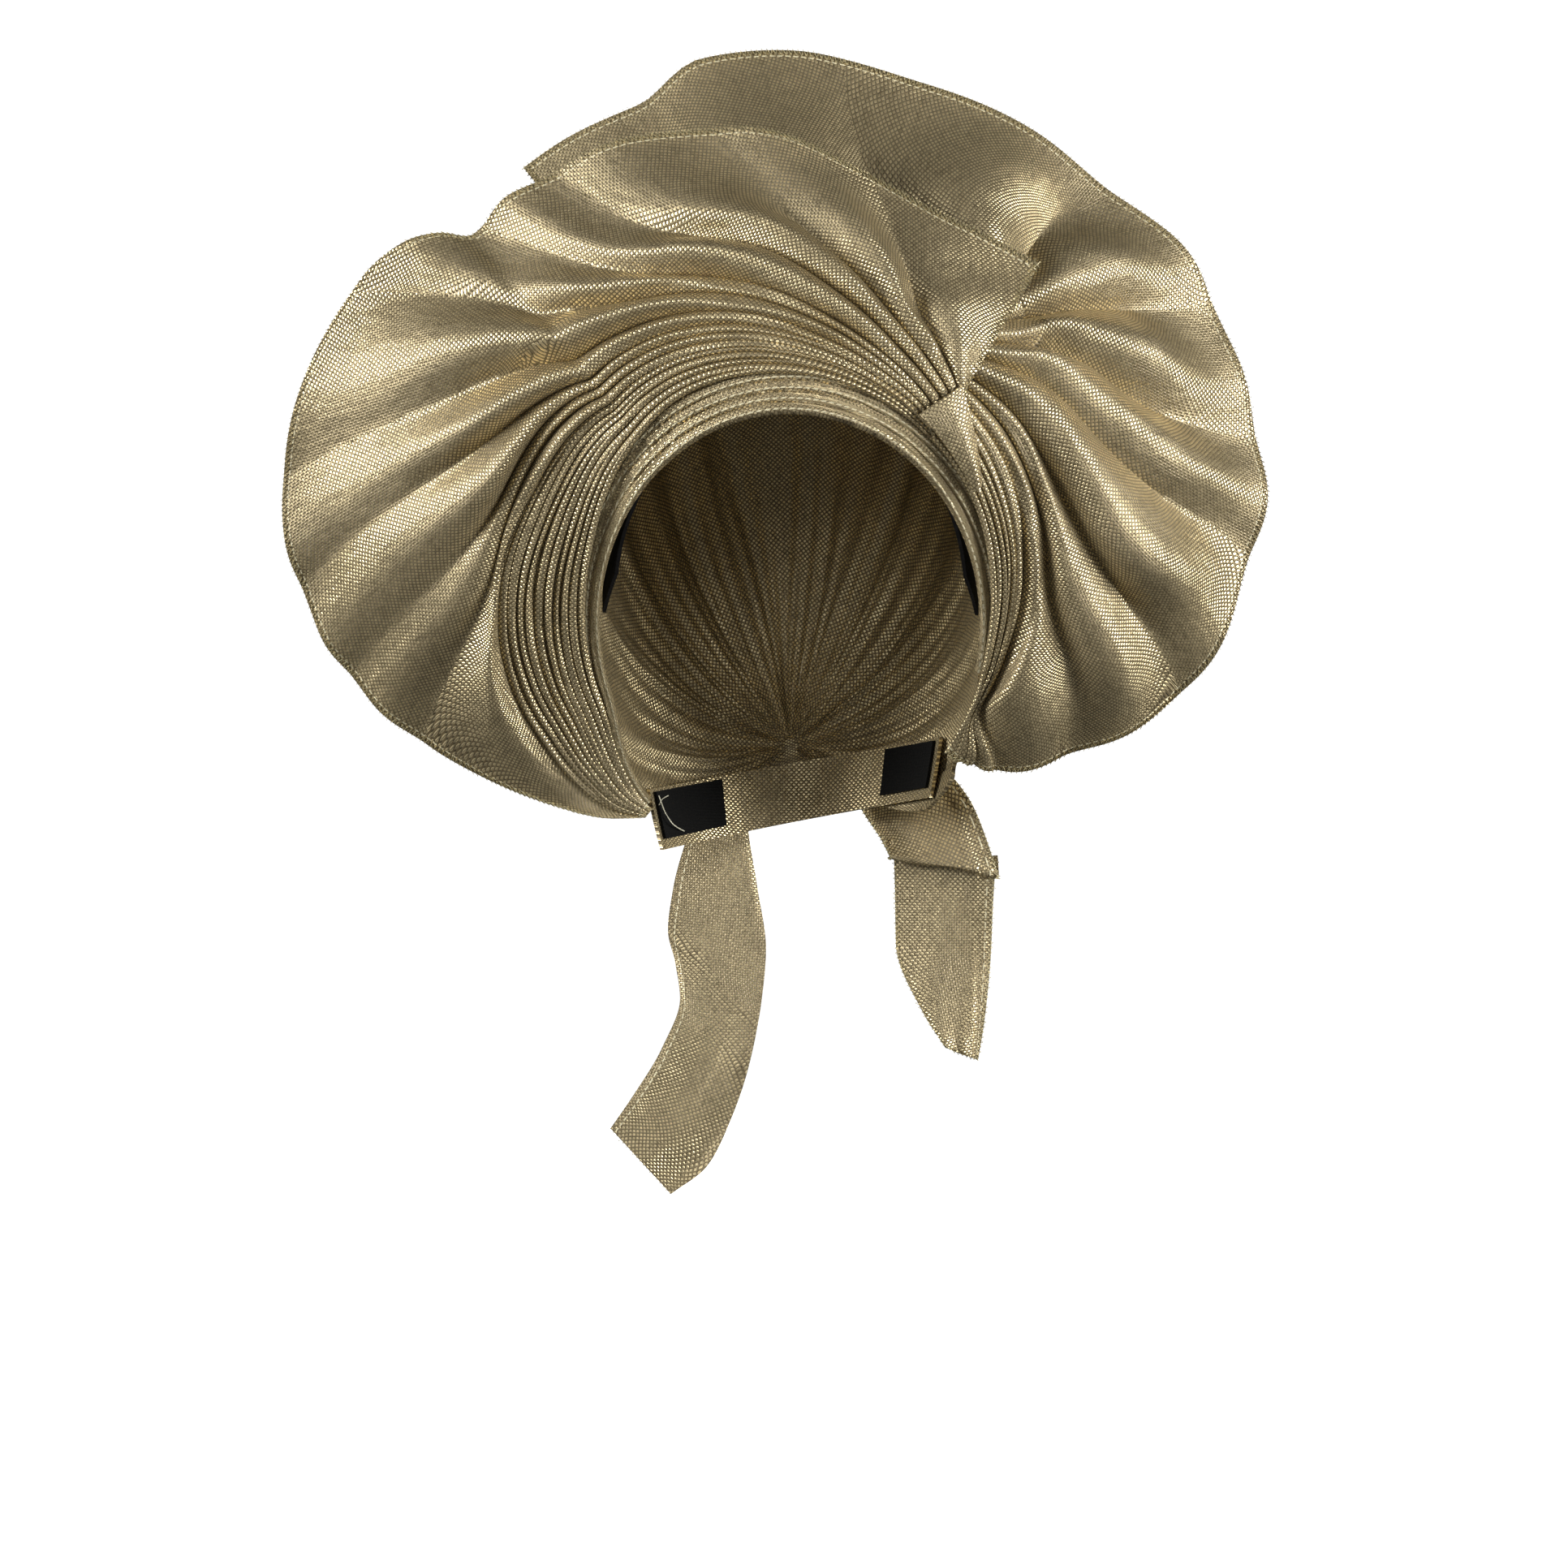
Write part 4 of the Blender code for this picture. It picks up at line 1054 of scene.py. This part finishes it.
def crown_cap():
    hole = math.degrees(CAP_GATHER_HOLE / (CAP_DEPTH / 2))
    u, v = unit_grid(GATHER_COLUMNS * CAP_GATHERS, CAP_ROWS)
    turn = -CAP_HEM_TURN + (180.0 + 2 * CAP_HEM_TURN) * u
    edge = cap_edge(turn[:, 0])[:, None]
    tilt = hole + (edge - hole) * v
    wander = GATHER_WANDER * uneven(21, (1.2, 1.0), u * CAP_GATHERS, v)
    ripple = 0.5 - 0.5 * np.cos(2 * np.pi * (CAP_GATHERS * u + wander * ease(u / 0.1)))
    fine = 0.5 - 0.5 * np.cos(2 * np.pi * (FINE_IN_BROAD * CAP_GATHERS * u + 2 * wander))
    fade = ease(v / 0.15) * ease((1 - v) / 0.30)
    fine_fade = ease(v / 0.03) * ease((0.55 - v) / 0.4)
    lift = CAP_GATHER_HEIGHT * (BROAD_GATHER * ripple * fade + FINE_GATHER * fine * fine_fade)
    front, _ = egg_point(meridian(turn, tilt), -lift)
    back, _ = egg_point(meridian(turn, tilt), CLOTH - lift)
    breaks = list(range(0, GATHER_COLUMNS * CAP_GATHERS + 1, GATHER_COLUMNS))
    return cloth_piece("crown_cap_cloth", "crown_cap", front, back, breaks=breaks)


cap = crown_cap()
tell(cap)

# %% [markdown]
# The inner band grips the head: black stretch knit, inside the cap along its front edge. Its ends
# come out under the brow band at both temples. The nape strap closes the wrap, and a hook patch
# and a loop patch are sewn to its inner face.

# %% Inner band, strap and patches
def inner_band():
    u, v = unit_grid(180, 12)
    turn = -INNER_BAND_ENDS + (180.0 + 2 * INNER_BAND_ENDS) * u
    per_degree = math.radians(1.0) * CAP_DEPTH / 2
    edge = cap_edge(turn[:, 0])[:, None] - INNER_BAND_SETBACK / per_degree
    tilt = edge - INNER_BAND_WIDTH / per_degree * v
    grip = INNER_BAND_GRIP * (1 - v) * ease(np.abs(np.cos(np.radians(turn))) / 0.8)
    inset = CLOTH + INNER_BAND_GAP + grip
    direction = meridian(turn, tilt)
    return cloth_piece("inner_band_knit", "inner_band", egg_point(direction, inset)[0],
                       egg_point(direction, inset + INNER_BAND_CLOTH)[0], stretch_knit)


def nape_point(turn, height, inset):
    """A point on the egg at a height, at an angle round the neck: 0 is the wearer's left."""
    level = (height - CAP_CENTRE_UP) / CAP_NAPE_DROP
    scale = np.sqrt(1 - level ** 2)
    turn = np.radians(turn)
    across = (CAP_WIDTH / 2 * scale - inset) * np.cos(turn)
    back = (CAP_DEPTH / 2 * scale - inset) * np.sin(turn)
    return np.stack([across, CAP_CENTRE_BACK + back, height], axis=-1)


def strap_height(turn, drop):
    """Height on the strap, at a drop below its edge, which is higher on the gather's side."""
    across = CAP_WIDTH / 2 * math.sqrt(1 - (STRAP_LEVEL / CAP_NAPE_DROP) ** 2)
    return -STRAP_LEVEL + STRAP_TILT * across * np.cos(np.radians(turn)) - drop


def nape_piece(name, node, first, last, drops, inset, thickness, material):
    """A stretch of cloth round the nape, between two drops below the strap's upper edge."""
    u, v = unit_grid(80, 12)
    turn = first + (last - first) * u
    height = strap_height(turn, drops[0] + (drops[1] - drops[0]) * v)
    front, back = (nape_point(turn, height, deep) for deep in (inset, inset + thickness))
    return cloth_piece(name, node, front, back, material)


inner = inner_band()
strap = nape_piece("nape_strap_cloth", "nape_strap", STRAP_LEFT_END, STRAP_RIGHT_END,
                   (0.0, STRAP_HEIGHT), STRAP_INSET, CLOTH, gold_cloth)
patch_drops = (0.3 * PATCH_MARGIN, STRAP_HEIGHT - PATCH_MARGIN)
patch_inset = STRAP_INSET + CLOTH + LAYER_GAP
Patch = namedtuple("Patch", "name node end turn length")
PATCHES = [
    Patch("hook_patch_tape", "hook_patch", STRAP_LEFT_END, -HOOK_PATCH_TURN, 0.050),
    Patch("loop_patch_tape", "loop_patch", STRAP_RIGHT_END, LOOP_PATCH_TURN, 0.038),
]
for row in PATCHES:
    first = row.end + math.copysign(PATCH_OFF_END, row.turn)
    patch = nape_piece(row.name, row.node, first, row.end + row.turn, patch_drops, patch_inset,
                       PATCH_CLOTH, hook_tape)
    tell(patch)
tell(inner, strap)

# %% [markdown]
# The nape knot is a short barrel of cloth, pulled tight at its waist. A cylinder gives the barrel,
# and slanting grooves wound round it show that the cloth is wrapped.

# %% Nape knot
KNOT_FOLDS = 5
KNOT_GROOVE = 0.0012
KNOT_TWIST = 260
KNOT_SEGMENTS = 72
KNOT_CUTS = 35


def height_over_cap(point):
    """Height of a point over the egg that the cap lies on."""
    from_centre = point - np.array([0.0, CAP_CENTRE_BACK, CAP_CENTRE_UP])
    reach = np.linalg.norm(from_centre, axis=-1)
    surface, _ = egg_point(from_centre / reach[..., None])
    return reach - np.linalg.norm(surface - (point - from_centre), axis=-1)


def knot_shape(segments, cuts):
    """The knot's solid about its own centre, and where that centre goes."""
    knot = bmesh.new()
    bmesh.ops.create_cone(knot, cap_ends=True, segments=segments, radius1=0.5, radius2=0.5,
                          depth=1.0)
    sides = [edge for edge in knot.edges if abs(edge.verts[0].co.z - edge.verts[1].co.z) > 0.5]
    bmesh.ops.subdivide_edges(knot, edges=sides, cuts=cuts, use_grid_fill=True)
    for vertex in knot.verts:
        end = 2 * vertex.co.z
        swell = KNOT_WAIST + (1 - KNOT_WAIST) * math.sin(math.pi * min(1, 1.25 * (1 - abs(end))))
        vertex.co = (
            end * KNOT_LENGTH / 2,
            vertex.co.x * KNOT_THICKNESS * swell,
            vertex.co.y * KNOT_HEIGHT * swell,
        )
    shape = np.array([vertex.co for vertex in knot.verts])
    spot, normal = egg_point(meridian(np.array([90.0]), np.array([0.0])))
    centre = spot[0] + normal[0] * KNOT_THICKNESS
    for _ in range(6):
        centre -= normal[0] * (height_over_cap(centre + shape).min() + KNOT_SETTLE)
    return knot, centre


def nape_knot():
    knot, centre = knot_shape(KNOT_SEGMENTS, KNOT_CUTS)
    for vertex in knot.verts:
        turn = math.atan2(vertex.co.z, vertex.co.y)
        wave = math.cos(KNOT_FOLDS * turn + KNOT_TWIST * vertex.co.x)
        shrink = 1 - KNOT_GROOVE / (KNOT_THICKNESS / 2) * (0.5 - 0.5 * wave) ** 3
        vertex.co.y *= shrink
        vertex.co.z *= shrink
    bmesh.ops.translate(knot, vec=centre, verts=knot.verts[:])
    bmesh.ops.recalc_face_normals(knot, faces=knot.faces[:])
    threads = knot.loops.layers.uv.new("threads")
    edge = knot.loops.layers.uv.new("rim")
    for face in knot.faces:
        middle = face.calc_center_median() - Vector(centre)
        facing = math.atan2(middle.z, middle.y)
        for corner in face.loops:
            spot = corner.vert.co - Vector(centre)
            turn = math.atan2(spot.z, spot.y)
            turn += 2 * math.pi * round((facing - turn) / (2 * math.pi))
            corner[threads].uv = (turn * KNOT_HEIGHT / 2 + 0.5 * spot.x, spot.x)
            corner[edge].uv = (0.0, 1.0)
    mesh = bpy.data.meshes.new("nape_knot_cloth")
    knot.to_mesh(mesh)
    knot.free()
    return finish_piece(mesh, "nape_knot_cloth", gold_cloth, "nape_knot")


tell(nape_knot())

# %% [markdown]
# The two ends of the cloth hang from the knot. Each is a strip lofted through a short table of
# lines across it. The right one folds over on itself once, so its upper part hangs in front of the
# lower with a free edge.

# %% Tie ends
RIGHT_TIE_SECTIONS = [
    Section(0.00, 0.00, 0.00, -0.05, 0.00, 0.00, 0.06),
    Section(0.10, 0.52, -0.10, -0.02, 0.22, -0.05, 0.14),
    Section(0.20, 1.04, -0.22, 0.04, 0.40, -0.14, 0.23),
    Section(0.28, 1.40, -0.34, 0.17, 0.52, -0.24, 0.29),
    Section(0.38, 1.66, -0.46, 0.400, 0.60, -0.38, 0.345),
    Section(0.42, 1.67, -0.43, 0.405, 0.60, -0.35, 0.350),
    Section(0.47, 1.66, -0.35, 0.345, 0.62, -0.27, 0.290),
    Section(0.51, 1.65, -0.30, 0.360, 0.64, -0.22, 0.305),
    Section(0.60, 1.62, -0.26, 0.50, 0.66, -0.18, 0.44),
    Section(0.72, 1.60, -0.24, 0.66, 0.67, -0.18, 0.63),
    Section(0.87, 1.54, -0.30, 0.86, 0.92, -0.26, 0.84),
    Section(1.00, 1.47, -0.34, 1.00, 1.15, -0.32, 0.96),
]
LEFT_TIE_SECTIONS = [
    Section(0.00, 0.00, 0.00, -0.036, 0.00, 0.00, 0.045),
    Section(0.12, -0.32, -0.06, 0.03, -0.05, -0.04, 0.16),
    Section(0.24, -0.62, -0.15, 0.18, 0.04, -0.11, 0.30),
    Section(0.36, -0.78, -0.22, 0.31, 0.13, -0.15, 0.44),
    Section(0.47, -0.83, -0.24, 0.40, 0.09, -0.20, 0.55),
    Section(0.57, -0.76, -0.24, 0.47, 0.04, -0.22, 0.62),
    Section(0.67, -0.71, -0.26, 0.55, -0.05, -0.24, 0.71),
    Section(0.79, -0.89, -0.29, 0.66, -0.22, -0.26, 0.82),
    Section(0.90, -1.16, -0.31, 0.76, -0.45, -0.28, 0.92),
    Section(1.00, -1.39, -0.33, 0.835, -0.80, -0.31, 0.98),
]
HEM_SHARE = 0.18
HEM_RISE = 0.0009
TIE_CLOTH = 0.3
TIE_UNEVEN = 0.0012


def tie_end(name, node, sections, length, seed):
    side = math.copysign(1.0, sections[-1].across_a)
    shape, centre = knot_shape(14, 5)
    shape.free()
    start = centre + np.array([side * (KNOT_LENGTH / 2 + LAYER_GAP), 0.0, 0.0])
    scale = np.array([TIE_WIDTH, TIE_WIDTH, -length])

    def edge_point(edge, along):
        names = (f"across_{edge}", f"back_{edge}", f"drop_{edge}")
        shares = [through(sections, name, along, "along") for name in names]
        return start + np.stack(shares, axis=-1) * scale

    def strip(across, along):
        return (edge_point("a", along) * (1 - across[..., None])
                + edge_point("b", along) * across[..., None])

    u, v = unit_grid(36, 180)
    point = strip(u, v)
    normal = front_normal(strip, u, v, 0.01, 0.003, keep=True)
    wave = (TIE_UNEVEN * uneven(seed, (1.6, 2.2), u, v) * ease(v / 0.15) * ease(u / 0.1)
            * ease((1 - u) / 0.1))
    hem = HEM_RISE * ease((HEM_SHARE - u) / 0.03)
    front = point + normal * (wave + CLOTH * TIE_CLOTH + hem)[..., None]
    back = point + normal * (wave - CLOTH * TIE_CLOTH)[..., None]
    rim = np.stack([v * length, u * TIE_WIDTH], axis=-1)
    return Sheet(cloth_piece(name, node, front, back, rim=rim), front, normal)


right_tie = tie_end("right_tie_cloth", "right_tie_end", RIGHT_TIE_SECTIONS, RIGHT_TIE_LENGTH, 41)
left_tie = tie_end("left_tie_cloth", "left_tie_end", LEFT_TIE_SECTIONS, LEFT_TIE_LENGTH, 43)
for tie in (right_tie, left_tie):
    tell(tie.piece)

# %% [markdown]
# A small turn of cloth covers the gather where all pleats meet. It is a short swelling strip that
# narrows downwards along the band, pulled tight.

# %% Gather wrap
WRAP_RIBS = 5
WRAP_RIB_HEIGHT = 0.0002
WRAP_OFF_BAND = 0.001
WRAP_NARROWING = 0.8


def gather_wrap():
    def wrap_sheet(across, down):
        angle = WRAP_TOP - WRAP_SLANT * across * (1 - down) + (WRAP_FOOT - WRAP_TOP) * down
        inner_edge = face_radius(angle) + band_shown(angle)
        radius = (inner_edge + WRAP_INSET * (1 - down) ** 2 + WRAP_OFF_BAND
                  + WRAP_WIDTH * (1 - WRAP_NARROWING * down) * across)
        return band_sheet(angle, radius)

    u, v = unit_grid(48, 96)
    point = wrap_sheet(u, v)
    normal = front_normal(wrap_sheet, u, v, 0.01, 0.01)
    swell = WRAP_SWELL * np.sin(np.pi * u) * np.sin(np.pi * (0.1 + 0.8 * v))
    rib = WRAP_RIB_HEIGHT * (0.5 - 0.5 * np.cos(2 * np.pi * WRAP_RIBS * (v + 0.06 * u)))
    lift = WRAP_LIFT + swell + rib * np.sin(np.pi * u)
    front = point + normal * (lift + CLOTH)[..., None]
    back = point + normal * lift[..., None]
    return cloth_piece("gather_wrap_cloth", "gather_wrap", front, back)


wrap = gather_wrap()
tell(wrap)

# %% [markdown]
# Cut edges of gele cloth fray, so they are overlocked: a thread zigzags over the edge. We lay one
# real thread along each rim, as a curve with a small round section, and turn it into a mesh.

# %% Overlocked edges
THREAD_RADIUS = 0.00024
ZIGZAG_STEP = 0.0011
ZIGZAG_OUT = -0.0005
FAN_ZIGZAG = 0.0026
TIE_ZIGZAG = 0.0012
ZIGZAG_LIFT = 0.0003
FRAY = 0.00022
Edge = namedtuple("Edge", "name sheet side depth")
EDGES = [
    Edge("left_fan_overlock", left_fan, "rim", FAN_ZIGZAG),
    Edge("left_flap_overlock", left_fan, "last", FAN_ZIGZAG),
    Edge("right_fan_overlock", right_fan, "rim", FAN_ZIGZAG),
    Edge("right_side_overlock", right_fan, "last", FAN_ZIGZAG),
    Edge("right_tie_outer_overlock", right_tie, "first", TIE_ZIGZAG),
    Edge("right_tie_inner_overlock", right_tie, "last", TIE_ZIGZAG),
    Edge("right_tie_tip_overlock", right_tie, "rim", TIE_ZIGZAG),
    Edge("left_tie_tip_overlock", left_tie, "rim", TIE_ZIGZAG),
]


def lay_thread(name, points, radius, material):
    """A thread through points, as a mesh."""
    curve = bpy.data.curves.new(name, "CURVE")
    curve.dimensions = "3D"
    curve.bevel_depth = radius
    curve.bevel_resolution = 0
    curve.use_fill_caps = True
    line = curve.splines.new("POLY")
    line.points.add(len(points) - 1)
    line.points.foreach_set("co", np.column_stack([points, np.ones(len(points))]).ravel())
    holder = put_in_scene(name, curve)
    solid = bpy.data.meshes.new_from_object(holder)
    bpy.data.objects.remove(holder)
    return finish_piece(solid, name, material)


def overlock(row):
    """A zigzag of thread along one edge of a sheet: its first or last column, or its rim."""
    front, normal = (table.swapaxes(0, 1) if row.side == "rim" else table
                     for table in (row.sheet.front, row.sheet.normal))
    at, next_in = (0, 1) if row.side == "first" else (-1, -2)
    edge = front[at]
    run = run_along(edge)
    stops = np.arange(0, run[-1], ZIGZAG_STEP)
    inward = front[next_in] - edge
    inward /= np.linalg.norm(inward, axis=1, keepdims=True) + 1e-12
    edge, inward, normal = (np.stack([np.interp(stops, run, part[:, k]) for k in range(3)], axis=1)
                            for part in (edge, inward, normal[at]))
    random = np.random.default_rng(len(stops))
    reach = np.where(np.arange(len(stops)) % 2 == 0, ZIGZAG_OUT, row.depth)
    reach = reach + random.normal(0, FRAY, len(stops))
    points = edge + inward * reach[:, None] + normal * ZIGZAG_LIFT
    return lay_thread(row.name, points, THREAD_RADIUS, edge_thread)


tell(*[overlock(row) for row in EDGES])

# %% [markdown]
# A pale thread hangs loose over the hook patch, and a few stitches hold the patch beside it. Both
# are laid by the same helper, through short tables of places round the nape.

# %% Threads at the hook patch

LOOSE_THREAD_RADIUS = 0.00028
PATCH_STITCH_RADIUS = 0.00022
ThreadSpot = namedtuple("ThreadSpot", "along turn height lift")
LOOSE_THREAD = [
    ThreadSpot(0.00, 149.6, -0.0700, 0.0004), ThreadSpot(0.35, 149.4, -0.0762, 0.0014),
    ThreadSpot(0.65, 147.4, -0.0812, 0.0022), ThreadSpot(0.85, 142.8, -0.0838, 0.0016),
    ThreadSpot(1.00, 138.2, -0.0853, 0.0006),
]
PATCH_STITCH = [
    ThreadSpot(0.00, 150.2, -0.0740, 0.0001), ThreadSpot(0.50, 147.4, -0.0716, 0.0001),
    ThreadSpot(1.00, 143.0, -0.0700, 0.0001),
]


def patch_thread(name, rows, radius):
    """A thread that lies over the hook patch, through a table of turns and heights."""
    along = np.linspace(0, 1, 41)
    turn, height, lift = (through(rows, column, along, "along")
                          for column in ("turn", "height", "lift"))
    points = nape_point(turn, height, patch_inset + PATCH_CLOTH + radius + lift)
    return lay_thread(name, points, radius, loose_thread)


tell(patch_thread("loose_thread", LOOSE_THREAD, LOOSE_THREAD_RADIUS),
     patch_thread("patch_stitch", PATCH_STITCH, PATCH_STITCH_RADIUS))

# %% [markdown]
# Last, we close the scene. Cloth may stand a little proud of the imported solids, but not by much.

# %% Finish
bpy.context.view_layer.update()
